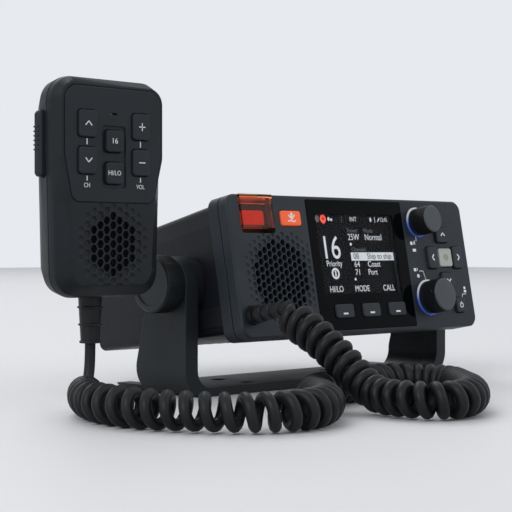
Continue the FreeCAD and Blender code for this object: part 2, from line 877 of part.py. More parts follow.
# Half widths at the top, at the waist and at the bottom, top and bottom heights, and corner radius.
handset_shape = {
    "face": (30.2, 24.8, 22.6, 26.4, -67.3, 7.5),
    "edge": (32.1, 31.5, 30.2, 29.6, -72.0, 11.0),
    "seam": (32.2, 31.7, 30.4, 29.8, -73.0, 12.0),
    "back": (30.6, 30.0, 28.8, 28.6, -71.5, 11.0),
    "rear": (25.0, 24.5, 23.5, 23.0, -66.0, 8.0),
}
handset_shoulder_depth = 16.0
waist_top = -7.0
waist_bottom = -28.0
waist_bend = 12.0


def handset_section(station, inset):
    upper, waist, lower, top, bottom, corner = handset_shape[station]
    round_off = max(corner - inset, 1.0)
    return [
        (-upper + inset, top - inset, round_off),
        (upper - inset, top - inset, round_off),
        (upper - inset, waist_top, waist_bend),
        (waist - inset, waist_bottom, waist_bend),
        (lower - inset, bottom + inset, round_off),
        (-lower + inset, bottom + inset, round_off),
        (-waist + inset, waist_bottom, waist_bend),
        (-upper + inset, waist_top, waist_bend),
    ]


def handset_loft(stations, inset):
    """Skinned solid through (station, depth) pairs, in straight steps."""
    return loft([rounded_wire(handset_section(name, inset), across(y)) for name, y in stations])


def front_stations(inner):
    """Stations of the front shell, or of its hollow."""
    face = handset_wall if inner else 0
    return [("face", face), ("edge", handset_edge + face), ("seam", handset_seam)]


def back_stations(inner):
    start = handset_seam + handset_seal_thickness
    wall = handset_wall if inner else 0
    return [("seam", start), ("back", handset_shoulder_depth - wall), ("rear", handset_depth - wall)]


def hand_keys():
    """Outline box (x0, x1, z0, z1) of each key of the handset."""
    keys = {}
    half_w, half_h = hand_key_width / 2, hand_key_height / 2
    for name, x, z in (
        ("channel_up_key", -key_column, hand_key_upper),
        ("channel_down_key", -key_column, -hand_key_lower),
        ("volume_up_key", key_column, hand_key_upper),
        ("volume_down_key", key_column, -hand_key_lower),
    ):
        keys[name] = (x - half_w, x + half_w, z - half_h, z + half_h)
    half = middle_key_size / 2
    for name, z in (("sixteen_key", middle_key_upper), ("high_low_key", -middle_key_lower)):
        keys[name] = (-half, half, z - half, z + half)
    return keys


def plate_corners(inset):
    half, waist = plate_half_width - inset, plate_waist - inset
    low = -plate_bottom + inset
    return [
        (-half, plate_top - inset, plate_corner),
        (half, plate_top - inset, plate_corner),
        (half, waist_top, waist_bend),
        (waist, low, plate_low_corner),
        (-waist, low, plate_low_corner),
        (-half, waist_top, waist_bend),
    ]


def hand_posts():
    """Where the four handset screws run."""
    upper = handset_shape["seam"][0] - hand_post_inside_seam
    lower = handset_shape["rear"][2] - hand_post / 2
    return [(s * x, z) for s in (-1, 1) for x, z in ((upper, hand_post_above), (lower, -hand_post_below))]


def handset_front_shell():
    hollow = handset_loft(front_stations(True), handset_wall)
    shape = handset_loft(front_stations(False), 0).cut(hollow)
    posts = [rod(hand_post, handset_wall / 2, handset_seam, x, z) for x, z in hand_posts()]
    shape = shape.fuse(posts)
    floor = plate_thickness - plate_proud
    cutters = [prism(plate_corners(-plate_gap), -1, floor + plate_gap)]
    for box in hand_keys().values():
        cutters.append(key_hole(*box, -1, handset_wall + 1, hand_key_corner))
    for x, z in hand_posts():
        cutters.append(rod(hand_screw + 2 * press, handset_seam - hand_screw_bite - spare, handset_seam + 1, x, z))
    cutters.append(honeycomb(0, -hand_grille_below, hand_grille_radius, hand_grille_pitch, grille_web, -1,
                             handset_wall + 1))
    cutters.append(mic_slot(-1, handset_wall + 1))
    return shape.cut(cutters).removeSplitter()


def mic_slot(y0, y1):
    half = mic_slot_width / 2
    return slab(-half, half, mic_slot_above - mic_slot_height / 2, mic_slot_above + mic_slot_height / 2, y0, y1)


def handset_face_plate():
    back = plate_thickness - plate_proud
    shape = chamfered(prism(plate_corners(0), -plate_proud, back), -plate_proud, plate_proud / 2)
    half = middle_key_size / 2 + middle_pocket_border
    pocket = slab(-half, half, -middle_key_lower - half, middle_key_upper + half, -plate_proud - 1,
                  -plate_proud + middle_pocket_depth, hand_key_corner)
    cutters = [pocket, mic_slot(-2, back)]
    for box in hand_keys().values():
        cutters.append(key_hole(*box, -plate_proud - 1, back, hand_key_corner))
    return shape.cut(cutters)


def handset_key(x0, x1, z0, z1):
    stem_end = hand_board_depth - key_travel - key_seat
    return push_key(x0, x1, z0, z1, -plate_proud - hand_key_proud, handset_wall, stem_end, hand_key_corner)


def handset_seal():
    y0, y1 = handset_seam + press, handset_seam + handset_seal_thickness - press
    outer = prism(handset_section("seam", seal_inset), y0, y1)
    return outer.cut(prism(handset_section("seam", handset_wall), y0, y1))


def ptt_box(grow_y, grow_z):
    """Outline of the push-to-talk bar on the left side, as (y0, y1, z0, z1)."""
    return ptt_front - grow_y, ptt_front + ptt_width + grow_y, -ptt_bottom - grow_z, ptt_top + grow_z


def side_block(x0, x1, y0, y1, z0, z1, radius):
    corners = [(y0, z0, radius), (y1, z0, radius), (y1, z1, radius), (y0, z1, radius)]
    return Part.Face(rounded_wire(corners, lengthwise(x0))).extrude(Vec(x1 - x0, 0, 0))


def handset_back_shell():
    hollow = handset_loft(back_stations(True), handset_wall)
    shape = handset_loft(back_stations(False), 0).cut(hollow)
    y0 = handset_seam + handset_seal_thickness
    posts = [rod(hand_post, y0, handset_depth - handset_wall / 2, x, z) for x, z in hand_posts()]
    half_width = handset_shape["seam"][0]
    shape = shape.fuse(posts)
    cutters = [side_block(-half_width - 1, -half_width + ptt_root, *ptt_box(ptt_gap, ptt_gap), 2)]
    for x, z in hand_posts():
        cutters.append(rod(hand_screw + 4 * press, y0 - 1, handset_depth + 1, x, z))
        cutters.append(rod(hand_screw_recess, y0 + hand_screw_seat, handset_depth + 1, x, z))
    cutters.append(rod(hanger_stem + 2 * press, handset_shoulder_depth, handset_depth + 1, 0, hanger_height))
    bottom = handset_shape["seam"][4]
    cutters.append(Part.makeCylinder(hand_boot_collar / 2 + press, hand_boot_neck_length + spare,
                                     Vec(0, hand_boot_depth, bottom - seat)))
    return shape.cut(cutters).removeSplitter()


def ptt_bar():
    half_width = handset_shape["seam"][0]
    outside, inside = -half_width - ptt_proud, -half_width + ptt_root
    bar = side_block(outside, inside, *ptt_box(0, 0), 2)
    face = [e for e in bar.Edges if all(abs(v.Point.x - outside) < 1e-6 for v in e.Vertexes)]
    bar = bar.makeChamfer(1.2, face)
    return bar.fuse(side_block(inside, inside + ptt_inside, *ptt_box(0, ptt_lip), 2)).removeSplitter()


def handset_board():
    y0 = hand_board_depth
    board = slab(-hand_board_half_width, hand_board_half_width, -hand_board_bottom, hand_board_top, y0,
                 y0 + board_thickness, 2)
    return board


def mic_capsule_piece():
    """Microphone capsule on the board, its mouth just behind the slot."""
    y1 = hand_board_depth
    capsule = rod(mic_capsule, handset_wall + seat, handset_wall + seat + mic_capsule_depth, 0, mic_slot_above)
    holder = rod(mic_holder, handset_wall + seat + mic_capsule_depth, y1, 0, mic_slot_above)
    return capsule.fuse(holder).removeSplitter()


def hanger_button():
    y0 = handset_depth
    stem = rod(hanger_stem, handset_depth - handset_wall, y0 + hanger_reach, 0, hanger_height)
    head = rod(hanger_head, y0 + hanger_reach, y0 + hanger_reach + hanger_head_thickness, 0, hanger_height)
    return stem.fuse(head).removeSplitter()


def handset_screws():
    screws = []
    y0 = handset_seam + handset_seal_thickness + hand_screw_seat
    for x, z in hand_posts():
        head = rod(hand_screw_head, y0, y0 + hand_screw_head_height, x, z)
        screws.append(head.fuse(rod(hand_screw, handset_seam - hand_screw_bite, y0, x, z)).removeSplitter())
    return screws


def handset_boot():
    """Strain relief under the handset, where the cord's straight end goes in."""
    bottom = handset_shape["seam"][4]
    top = Vec(0, hand_boot_depth, bottom - seat)
    taper = Part.makeCone(hand_boot_collar / 2, hand_boot_tip / 2, hand_boot_length, top, Vec(0, 0, -1))
    neck = Part.makeCylinder(hand_boot_collar / 2, hand_boot_neck_length, top)
    return taper.fuse(neck).removeSplitter()


# ---- Curly cord --------------------------------------------------------------------------------------

arc_share = 0.45


def cord_tube(name, points, diameter):
    """Tube along straight runs joined by tangent arcs, each as large as its two runs allow."""
    points = [Vec(*p) for p in points]
    edges, radii, start = [], [], points[0]
    for before, here, after in zip(points, points[1:], points[2:]):
        into, out = here - before, after - here
        half = into.getAngle(out) / 2
        reach = arc_share * min(into.Length, out.Length)
        radii.append(reach / math.tan(half))
        into.normalize()
        out.normalize()
        begin, end = here - into * reach, here + out * reach
        inward = out - into
        inward.normalize()
        middle = here + inward * (radii[-1] / math.cos(half) - radii[-1])
        edges.append(Part.LineSegment(start, begin).toShape())
        edges.append(Part.Arc(begin, middle, end).toShape())
        start = end
    edges.append(Part.LineSegment(start, points[-1]).toShape())
    path = Part.Wire(edges)
    circle = Part.Wire(Part.makeCircle(diameter / 2, points[0], points[1] - points[0]))
    tube = path.makePipeShell([circle], True, True)
    expected = math.pi * diameter**2 / 4 * path.Length
    print(f"{name}: {path.Length:.1f} mm, radii {[round(r, 1) for r in radii]}, volume {tube.Volume / expected:.4f}")
    return tube


def shortened(points, gap):
    """The route with its first point moved on along its first run."""
    first, second = Vec(*points[0]), Vec(*points[1])
    along = second - first
    along.normalize()
    return [tuple(first + along * gap)] + points[1:]


coil_lies = coil_diameter / 2 + 0.1


def coil_front_route():
    """From the boot on the panel down to the floor, out to the right and back under itself."""
    x, z = boot_place()
    tip = tilted(Part.Vertex(x, front - boot_length, z)).Point
    return [
        (tip.x, tip.y + 0.3, tip.z - 5.3),
        (-87, -102, 35.3),
        (-87.5, -120, 23.6),
        (-88.5, -139, coil_lies + 0.4),
        (-92, -156, coil_lies),
        (-90, -172, coil_lies),
        (-79, -180, coil_lies),
        (-62.5, -175.5, coil_lies),
        (-46.5, -163.5, coil_lies),
        (-31, -146, coil_lies),
        (-12, -127.5, coil_lies),
        (-13, -106, coil_lies),
        (-30, -96.5, coil_lies),
        (-49, -98.9, coil_lies),
    ]


def coil_rear_route():
    """On along the floor to the left, round to under the handset."""
    return [
        coil_front_route()[-1],
        (-73, -101.4, coil_lies),
        (-100, -111, coil_lies),
        (-116, -134, coil_lies),
        (-134, -153, coil_lies),
        (-158, -161, coil_lies),
        (-179, -150, coil_lies),
        (-191.5, -131, coil_lies),
        (-200.8, -108.5, coil_lies),
        (-200.8, -84.5, coil_lies),
        (-194, -64, coil_lies),
        (-182, -47, coil_lies),
        (-171, -33, coil_lies),
    ]


def lead_route():
    """From the coil's end up into the handset's strain relief."""
    foot = handset_height + handset_shape["seam"][4] - seat - hand_boot_length
    y = handset_front + hand_boot_depth
    return [
        coil_rear_route()[-1],
        (-166, -27.4, 9.8),
        (handset_across, y, 20),
        (handset_across, y, foot - seat),
    ]


# ---- Build -------------------------------------------------------------------------------------------

os.makedirs("parts", exist_ok=True)

export("bracket", bracket())
left, right = gimbal(-1), gimbal(1)
export("friction_washers", left[0], right[0])
for side, (rubber, washer, knob, stud) in (("left", left), ("right", right)):
    export(f"{side}_knob_washer", washer)
    export(f"{side}_gimbal_knob", knob)
    export(f"{side}_gimbal_stud", stud)

export("front_bezel", tilted(front_bezel()))
export("bezel_gasket", tilted(bezel_gasket()))
export("rear_case", tilted(rear_case()))
export("case_screws", *[tilted(screw) for screw in case_screws()])
bore = stud_diameter + 2 * running
inserts = [pin(insert_diameter, x0, x1).cut(pin(bore, x0, x1))
           for x0, x1 in ((-case_half, -case_half + insert_length), (case_half - insert_length, case_half))]
export("gimbal_inserts", *[tilted(insert) for insert in inserts])
export("screen_glass", tilted(screen_glass()))
export("lcd_module", tilted(lcd_module()))
export("display_board", tilted(display_board()))
export("main_board", tilted(main_board()))
speaker_x, speaker_z = speaker_place()
export("radio_speaker", tilted(loudspeaker(speaker_rim, speaker_rim_thickness, speaker_cone_depth, speaker_magnet,
                                           speaker_magnet_depth, speaker_x, panel_back + press, speaker_z)))
export("knob_light_rings", *[tilted(ring) for ring in knob_light_rings()])
export("knob_encoders", *[tilted(encoder) for encoder in knob_encoders()])
for name, (x, z, diameter) in knobs().items():
    knob, shaft = knob_pieces(x, z, diameter)
    export(f"{name}_knob", tilted(knob))
    export(f"{name}_shaft", tilted(shaft))
for name, (x0, x1, z0, z1, proud) in panel_keys().items():
    stem_end = board_front - key_travel - 2 * key_seat
    export(name, tilted(push_key(x0, x1, z0, z1, front - proud, panel_back, stem_end, key_corner)))
export("distress_cover", tilted(distress_cover()))
export("distress_hinge_pin", tilted(distress_hinge_pin()))
export("distress_button", tilted(distress_button()))
antenna_x, power_x = socket_places()
export("antenna_socket", tilted(rear_socket(antenna_x, antenna_barrel, antenna_length, antenna_flange, antenna_bore,
                                            antenna_length)))
export("power_socket", tilted(rear_socket(power_x, power_barrel, power_length, power_flange, power_bore,
                                          power_bore_depth)))
export("mic_cord_boot", tilted(mic_cord_boot()))

export("handset_front_shell", in_handset(handset_front_shell()))
export("handset_face_plate", in_handset(handset_face_plate()))
export("handset_seal", in_handset(handset_seal()))
export("handset_back_shell", in_handset(handset_back_shell()))
export("handset_board", in_handset(handset_board()))
export("handset_speaker", in_handset(loudspeaker(hand_speaker, hand_speaker_rim, hand_speaker_cone, hand_speaker / 2,
                                                 hand_speaker_magnet_depth, 0, handset_wall + press,
                                                 -hand_grille_below)))
export("handset_microphone", in_handset(mic_capsule_piece()))
export("handset_screws", *[in_handset(screw) for screw in handset_screws()])
export("hanger_button", in_handset(hanger_button()))
export("handset_boot", in_handset(handset_boot()))
export("ptt_bar", in_handset(ptt_bar()))
for name, box in hand_keys().items():
    export(name, in_handset(handset_key(*box)))

export("mic_coil_front", cord_tube("mic_coil_front", coil_front_route(), coil_diameter))
export("mic_coil_rear", cord_tube("mic_coil_rear", shortened(coil_rear_route(), 2 * seat), coil_diameter))
export("handset_lead", cord_tube("handset_lead", shortened(lead_route(), 4 * seat), lead_diameter))
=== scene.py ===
"""Fixed-mount VHF marine radio in its gimbal bracket, with its fist microphone on a curly cord."""

import math

import bmesh
import bpy
from mathutils import Matrix, Vector


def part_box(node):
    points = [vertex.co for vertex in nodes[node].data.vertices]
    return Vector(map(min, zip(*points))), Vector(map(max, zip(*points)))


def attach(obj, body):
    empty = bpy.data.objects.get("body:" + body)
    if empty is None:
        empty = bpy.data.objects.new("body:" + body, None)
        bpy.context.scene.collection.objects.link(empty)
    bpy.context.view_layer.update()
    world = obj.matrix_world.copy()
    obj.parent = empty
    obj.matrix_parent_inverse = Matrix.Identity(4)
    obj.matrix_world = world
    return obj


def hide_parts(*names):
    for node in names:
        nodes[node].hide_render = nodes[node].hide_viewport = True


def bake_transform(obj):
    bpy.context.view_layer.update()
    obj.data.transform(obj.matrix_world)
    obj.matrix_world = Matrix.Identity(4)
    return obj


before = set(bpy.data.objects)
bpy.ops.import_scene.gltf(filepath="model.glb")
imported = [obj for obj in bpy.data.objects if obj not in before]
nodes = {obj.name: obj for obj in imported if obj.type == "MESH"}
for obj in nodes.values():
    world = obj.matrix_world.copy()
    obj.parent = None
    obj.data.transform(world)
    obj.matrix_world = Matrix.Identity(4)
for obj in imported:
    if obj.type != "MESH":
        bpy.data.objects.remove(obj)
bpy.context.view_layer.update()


# ---- Camera --------------------------------------------------------------------------------------------
# A long lens a little above the surface, well round to the left of the panel, so that the handset stands in
# front of the radio's left end.

camera_aim = Vector((0.7009, 0.7133, -0.0058))


def added(name, data):
    """A new object with this data, in the scene."""
    made = bpy.data.objects.new(name, data)
    bpy.context.scene.collection.objects.link(made)
    return made


camera_data = bpy.data.cameras.new("camera")
camera_data.sensor_width = 36.0
camera_data.lens = 101.25
camera = added("camera", camera_data)
camera.location = (-0.5883, -0.5720, 0.0765)
camera.rotation_euler = camera_aim.to_track_quat("-Z", "Y").to_euler()
bpy.context.scene.camera = camera


# ---- Curly cord ----------------------------------------------------------------------------------------
# A black rubber-jacketed lead wound into a curl. It droops from the boot on the panel to the surface, swings
# out to the right, comes back under itself and goes round to the left, up into the foot of the handset.

wire = 0.0052
first_turn_radius = 0.0072
curl_radius = 0.0062
curl_narrows_in = 0.030
curl_opens_in = 0.006
curl_closes_in = 0.011
opening_share = 0.74
close_pitch = 0.0067
drawn_out_pitch = 0.0016
drawn_out_from = 0.27
turn_points = 22
lead_step = 0.0015
smoothed_points = 9
smoothing_rounds = 4
dark_shine = 0.22

lead_x = -0.1621
lead_y = -0.025

boot_tip = Vector((-0.087, -0.0861, 0.0478))
boot_axis = Vector((0, -0.9826, 0.1857))
cord_route = [
    (-0.087, -0.0858, 0.0425),
    (-0.087, -0.102, 0.0353),
    (-0.0875, -0.120, 0.0236),
    (-0.0885, -0.139, 0.0095),
    (-0.092, -0.156, 0.0091),
    (-0.090, -0.172, 0.0091),
    (-0.079, -0.180, 0.0091),
    (-0.0625, -0.1755, 0.0091),
    (-0.0465, -0.1635, 0.0091),
    (-0.031, -0.146, 0.0091),
    (-0.012, -0.1275, 0.0091),
    (-0.013, -0.106, 0.0091),
    (-0.030, -0.0965, 0.0091),
    (-0.049, -0.0989, 0.0091),
    (-0.073, -0.1014, 0.0091),
    (-0.100, -0.111, 0.0091),
    (-0.116, -0.134, 0.0091),
    (-0.134, -0.153, 0.0091),
    (-0.158, -0.161, 0.0091),
    (-0.179, -0.150, 0.0091),
    (-0.1915, -0.131, 0.0091),
    (-0.2008, -0.1085, 0.0091),
    (-0.2008, -0.0845, 0.0091),
    (-0.194, -0.064, 0.0091),
    (-0.182, -0.047, 0.0091),
    (-0.171, -0.033, 0.0091),
    (-0.166, -0.0274, 0.0098),
    (-0.1621, -0.025, 0.020),
    (-0.1621, -0.025, 0.0309),
]
cord_joint = Vector((-0.049, -0.0989, 0.0091))
curl_end = Vector((-0.171, -0.033, 0.0091))
into_handset = Vector((lead_x, lead_y, 0.036))


def real_mesh(made):
    """The mesh that an object comes out as, with its curves and modifiers worked out. The object goes."""
    bpy.context.view_layer.update()
    mesh = bpy.data.meshes.new_from_object(made.evaluated_get(bpy.context.evaluated_depsgraph_get()))
    bpy.data.objects.remove(made)
    return mesh


def route_line(route):
    """Evenly close points along the smooth line through the route."""
    curve = bpy.data.curves.new("route", "CURVE")
    curve.dimensions = "3D"
    spline = curve.splines.new("NURBS")
    spline.points.add(len(route) - 1)
    for point, place in zip(spline.points, route):
        point.co = (*place, 1)
    spline.order_u = 3
    spline.use_endpoint_u = True
    spline.resolution_u = 40
    return [v.co.copy() for v in real_mesh(added("route", curve)).vertices]


def nearest(points, place):
    """Which of the points lies closest to the place."""
    return min(range(len(points)), key=lambda i: (points[i] - place).length)


def curl_size(at, stop):
    """The curl's radius at a distance along the route: large at first, then even, and closing to the lead."""
    radius = first_turn_radius - (first_turn_radius - curl_radius) * min(1.0, at / curl_narrows_in)
    radius += 0.0003 * math.sin(at * 57.0)
    opening = opening_share + (1 - opening_share) * at / curl_opens_in
    closing = max(0.0, (stop - at) / curl_closes_in)
    return radius * min(1.0, opening, closing)


def curl_pitch(at):
    """The step of a turn at a distance along the route: tight, a little drawn out along the left."""
    drawn_out = drawn_out_pitch * max(0.0, math.sin((at - drawn_out_from) * 9.0))
    return close_pitch + drawn_out + 0.0005 * math.sin(at * 31.0) + 0.0003 * math.sin(at * 83.0)


def curled(points, curl_to):
    """The wire's centreline: it winds round the route as far as curl_to, and follows it from there."""
    run, travelled = [0.0], 0.0
    for a, b in zip(points, points[1:]):
        travelled += (b - a).length
        run.append(travelled)
    stop = run[nearest(points, curl_to)]
    side = Vector((0, 0, 1))
    centreline, marks, turned, index, at = [], [], 0.0, 0, 0.0
    while at < run[-1]:
        while run[index + 1] < at and index < len(points) - 2:
            index += 1
        along = (points[index + 1] - points[index]).normalized()
        share = (at - run[index]) / (run[index + 1] - run[index])
        here = points[index].lerp(points[index + 1], share)
        side = (side - along * side.dot(along)).normalized()
        other = along.cross(side)
        out = side * math.cos(turned) + other * math.sin(turned)
        centreline.append(here + out * curl_size(at, stop))
        marks.append(here)
        if at < stop:
            turned += 2 * math.pi / turn_points
            at += curl_pitch(at) / turn_points
        else:
            at += lead_step
    return centreline + [points[-1], into_handset], marks + [points[-1], into_handset]


def finished(name, shape):
    """The worked shape as a mesh of this name."""
    mesh = bpy.data.meshes.new(name)
    shape.to_mesh(mesh)
    shape.free()
    return mesh


def wire_mesh(name, centreline, thickness, sides=12):
    """A round tube whose middle follows the centreline, closed at both ends."""
    shape = bmesh.new()
    side = Vector((0, 0, 1))
    rings = []
    for i, here in enumerate(centreline):
        along = (centreline[min(i + 1, len(centreline) - 1)] - centreline[max(i - 1, 0)]).normalized()
        if abs(side.dot(along)) > 0.999:
            side = Vector((1, 0, 0))
        side = (side - along * side.dot(along)).normalized()
        other = along.cross(side)
        ring = []
        for k in range(sides):
            angle = 2 * math.pi * k / sides
            out = side * math.cos(angle) + other * math.sin(angle)
            ring.append(shape.verts.new(here + out * thickness / 2))
        rings.append(ring)
    for near, far in zip(rings, rings[1:]):
        for k in range(sides):
            shape.faces.new((near[k], near[(k + 1) % sides], far[(k + 1) % sides], far[k]))
    shape.faces.new(list(reversed(rings[0])))
    shape.faces.new(rings[-1])
    for face in shape.faces:
        face.smooth = True
    return finished(name, shape)


def feed(tree, made, inputs):
    """Set a node's inputs, given as values or as the sockets that feed them."""
    for name, value in inputs.items():
        if isinstance(value, bpy.types.NodeSocket):
            tree.links.new(value, made.inputs[name])
        else:
            made.inputs[name].default_value = value


def node(tree, kind, inputs=None, **settings):
    """A new node with its settings and inputs."""
    made = tree.nodes.new(kind)
    for name, value in settings.items():
        setattr(made, name, value)
    feed(tree, made, inputs or {})
    return made


def noise(tree, place, scale, detail=2.0):
    """A cloudy pattern between 0 and 1, with about this many clouds to the metre."""
    return node(tree, "ShaderNodeTexNoise", {"Vector": place, "Scale": scale,
                                             "Detail": detail}).outputs["Fac"]


def spread(tree, value, low, high, start=0.0, end=1.0):
    """Low where the value is at start, high where it is at end, and even in between."""
    return node(tree, "ShaderNodeMapRange", {"Value": value, "From Min": start, "From Max": end,
                                             "To Min": low, "To Max": high}).outputs["Result"]


def bump(tree, height, strength, distance, **inputs):
    """A surface direction that makes the height look raised by the distance."""
    return node(tree, "ShaderNodeBump", {"Height": height, "Strength": strength, "Distance": distance,
                                         **inputs}).outputs["Normal"]


def grade(tree, value, *stops):
    """Colour ramp through stops of (position, colour)."""
    ramp_node = node(tree, "ShaderNodeValToRGB", {"Fac": value})
    elements = ramp_node.color_ramp.elements
    while len(elements) < len(stops):
        elements.new(1.0)
    for element, (position, colour) in zip(elements, stops):
        element.position = position
        element.color = (*colour, 1)
    return ramp_node.outputs["Color"]


def shaded(colour, by):
    """The colour made this many times as light."""
    return tuple(min(1.0, c * by) for c in colour)


def blank_finish(name):
    """A new material with its tree, its surface shader and the place on the object for its patterns."""
    material = bpy.data.materials.new(name)
    material.use_nodes = True
    tree = material.node_tree
    return material, tree, tree.nodes["Principled BSDF"], node(tree, "ShaderNodeTexCoord").outputs["Object"]


def rubber(name, colour, gloss=(0.38, 0.56), dust=2.2):
    """Black rubber with a faint skin of dust, a slightly uneven sheen and a fine tooth."""
    material, tree, shader, place = blank_finish(name)
    cloud = noise(tree, place, 60.0, 6.0)
    grain = noise(tree, place, 2400.0)
    tint = grade(tree, cloud, (0.35, colour), (0.75, shaded(colour, dust)))
    sheen = spread(tree, cloud, *gloss)
    feed(tree, shader, {"Base Color": tint, "Roughness": sheen, "Normal": bump(tree, grain, 0.15, 0.0001),
                        "Specular IOR Level": dark_shine})
    return material


cord_points = route_line(cord_route)
wire_line, wire_marks = curled(cord_points, curl_end)
wire_line = [boot_tip - boot_axis * 0.004, boot_tip - boot_axis * 0.001] + wire_line
wire_marks = [cord_points[0], cord_points[0]] + wire_marks
for smoothing in range(smoothing_rounds):
    for i in range(1, smoothed_points):
        wire_line[i] = (wire_line[i - 1] + wire_line[i] * 2 + wire_line[i + 1]) / 4
cut = nearest(wire_marks, cord_joint)
cord_black = rubber("cord_black", (0.0055, 0.0060, 0.0068))
cord_pieces = {}
for cord_name, line in (("curly_cord_front", wire_line[: cut + 1]), ("curly_cord_rear", wire_line[cut:])):
    cord_piece = added(cord_name, wire_mesh(cord_name, line, wire))
    cord_piece.data.materials.append(cord_black)
    cord_pieces[cord_name] = cord_piece
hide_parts("mic_coil_front")
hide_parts("mic_coil_rear", "handset_lead")
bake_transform(cord_pieces["curly_cord_front"])
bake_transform(cord_pieces["curly_cord_rear"])


# ---- Bracket -------------------------------------------------------------------------------------------
# One thick moulding in satin charcoal plastic: a flat base and two arms that taper up to round heads, with
# a raised rim along the front edge. Four countersunk holes hold it to the dashboard.

edge_angle = math.radians(28)
crease_angle = math.radians(40)
flat_angle = math.radians(0.5)
merge_gap = 1e-6
bracket_edge = 0.0004
stud_axis_y = -0.016
stud_axis_z = 0.058
base_hole_x = 0.044
base_hole_y = 0.012
base_top = 0.006
screw_clear = 0.006
stud_clear = 0.005
# A light patch on the base's front edge: a painted highlight in white print that stands for a glint of light
# there.
base_glint = [(-4.6, 1.0), (5.2, 1.0), (3.8, 3.6), (-3.2, 3.6)]
base_glint_x = -0.005
base_front_y = -0.030
face_on = Matrix.Rotation(math.radians(90), 4, "X")


def merged(node_name):
    """A copy of a CAD piece's shape, its triangles joined into whole faces."""
    shape = bmesh.new()
    shape.from_mesh(nodes[node_name].data)
    bmesh.ops.remove_doubles(shape, verts=shape.verts, dist=merge_gap)
    bmesh.ops.dissolve_limit(shape, angle_limit=flat_angle, verts=shape.verts, edges=shape.edges)
    return shape


def eased(node_name, width, steps=3, chosen=None):
    """A copy of a CAD piece's mesh with its sharp edges rounded over by the width."""
    shape = merged(node_name)
    sharp = [e for e in shape.edges if len(e.link_faces) == 2 and e.calc_face_angle() > edge_angle]
    if chosen:
        sharp = [e for e in sharp if chosen((e.verts[0].co + e.verts[1].co) / 2)]
    bmesh.ops.bevel(shape, geom=sharp, offset=width, offset_type="OFFSET", segments=steps, profile=0.5,
                    affect="EDGES", clamp_overlap=False)
    return finished(node_name, shape)


def smoothed(mesh):
    """The mesh with smooth shading up to its creases."""
    mesh.polygons.foreach_set("use_smooth", [True] * len(mesh.polygons))
    mesh.set_sharp_from_angle(angle=crease_angle)
    return mesh


def dressed(name, mesh, material, body, slot_name, *stands_for):
    """A finished piece: its mesh in this finish, on its body, in place of the CAD nodes it stands for."""
    piece = added(name, mesh)
    if not mesh.materials:
        mesh.materials.append(material)
    else:
        mesh.materials[0] = material
    even = piece.modifiers.new("even_shading", "WEIGHTED_NORMAL")
    even.keep_sharp = True
    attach(piece, body)
    if stands_for:
        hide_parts(*stands_for)
    return piece


def maths(tree, operation, a, b=0.0):
    """What the operation makes of a and b."""
    return node(tree, "ShaderNodeMath", {0: a, 1: b}, operation=operation).outputs["Value"]


def mixed(tree, share, first, second):
    """The first colour where the share is 0, the second where it is 1."""
    return node(tree, "ShaderNodeMix", {0: share, 6: first, 7: second}, data_type="RGBA").outputs[2]


def moulded_plastic(name, colour, gloss=(0.40, 0.52), edge_wear_and_highlight=0.45, grain_size=5200.0, edge=0.0006):
    """Injection-moulded plastic: a fine grain, slightly uneven colour, and rounded edges painted lighter,
    partly as wear and partly as a painted highlight.
    """
    material, tree, shader, place = blank_finish(name)
    cloud = noise(tree, place, 38.0, 5.0)
    speck = noise(tree, place, grain_size)
    tint = grade(tree, cloud, (0.30, shaded(colour, 0.86)), (0.72, shaded(colour, 1.16)))
    rounded = node(tree, "ShaderNodeBevel", {"Radius": edge}, samples=6).outputs["Normal"]
    flat = node(tree, "ShaderNodeNewGeometry").outputs["Normal"]
    facing = node(tree, "ShaderNodeVectorMath", {0: rounded, 1: flat},
                  operation="DOT_PRODUCT").outputs["Value"]
    # Edges are painted lighter by the share given: partly rubbed wear, partly a painted highlight where light
    # catches a rounded edge.
    rubbed_and_lit_edges = spread(tree, facing, 0.0, edge_wear_and_highlight, 0.995, 0.88)
    patchy_wear_and_highlight = maths(tree, "MULTIPLY", rubbed_and_lit_edges, cloud)
    worn_and_highlit_tint = mixed(tree, patchy_wear_and_highlight, tint, (*shaded(colour, 3.2), 1))
    matt = spread(tree, cloud, gloss[1], gloss[0])
    grain = bump(tree, speck, 0.18, 0.00006, Normal=rounded)
    feed(tree, shader, {"Base Color": worn_and_highlit_tint, "Roughness": matt, "Normal": grain,
                        "Specular IOR Level": dark_shine})
    return material


def paint(name, colour, glow=0.0):
    """Printing ink, a little uneven, that may be lit from behind."""
    material, tree, shader, place = blank_finish(name)
    blot = noise(tree, place, 900.0, 3.0)
    ink = grade(tree, blot, (0.30, shaded(colour, 0.90)), (0.70, colour))
    feed(tree, shader, {"Base Color": ink, "Roughness": spread(tree, blot, 0.42, 0.60)})
    if glow:
        feed(tree, shader, {"Emission Color": ink, "Emission Strength": glow})
    return material


def stroke(x0, y0, x1, y1, width):
    """Outline of a straight printed line, in millimetres."""
    length = math.hypot(x1 - x0, y1 - y0)
    across_x, across_y = -(y1 - y0) / length * width / 2, (x1 - x0) / length * width / 2
    return [(x0 - across_x, y0 - across_y), (x1 - across_x, y1 - across_y), (x1 + across_x, y1 + across_y),
            (x0 + across_x, y0 + across_y)]


def disc(x, y, width, height=None):
    """Outline of a printed dot, in millimetres."""
    high = width if height is None else height
    return [(x + width / 2 * math.cos(math.radians(15 * i)), y + high / 2 * math.sin(math.radians(15 * i)))
            for i in range(24)]


def bow(x, y, radius, start, end, width):
    """Outline of a printed arc between two angles, in millimetres and degrees."""
    angles = [math.radians(start + (end - start) * i / 20) for i in range(21)]
    outer = [(x + (radius + width / 2) * math.cos(a), y + (radius + width / 2) * math.sin(a)) for a in angles]
    inner = [(x + (radius - width / 2) * math.cos(a), y + (radius - width / 2) * math.sin(a)) for a in angles]
    return outer + inner[::-1]


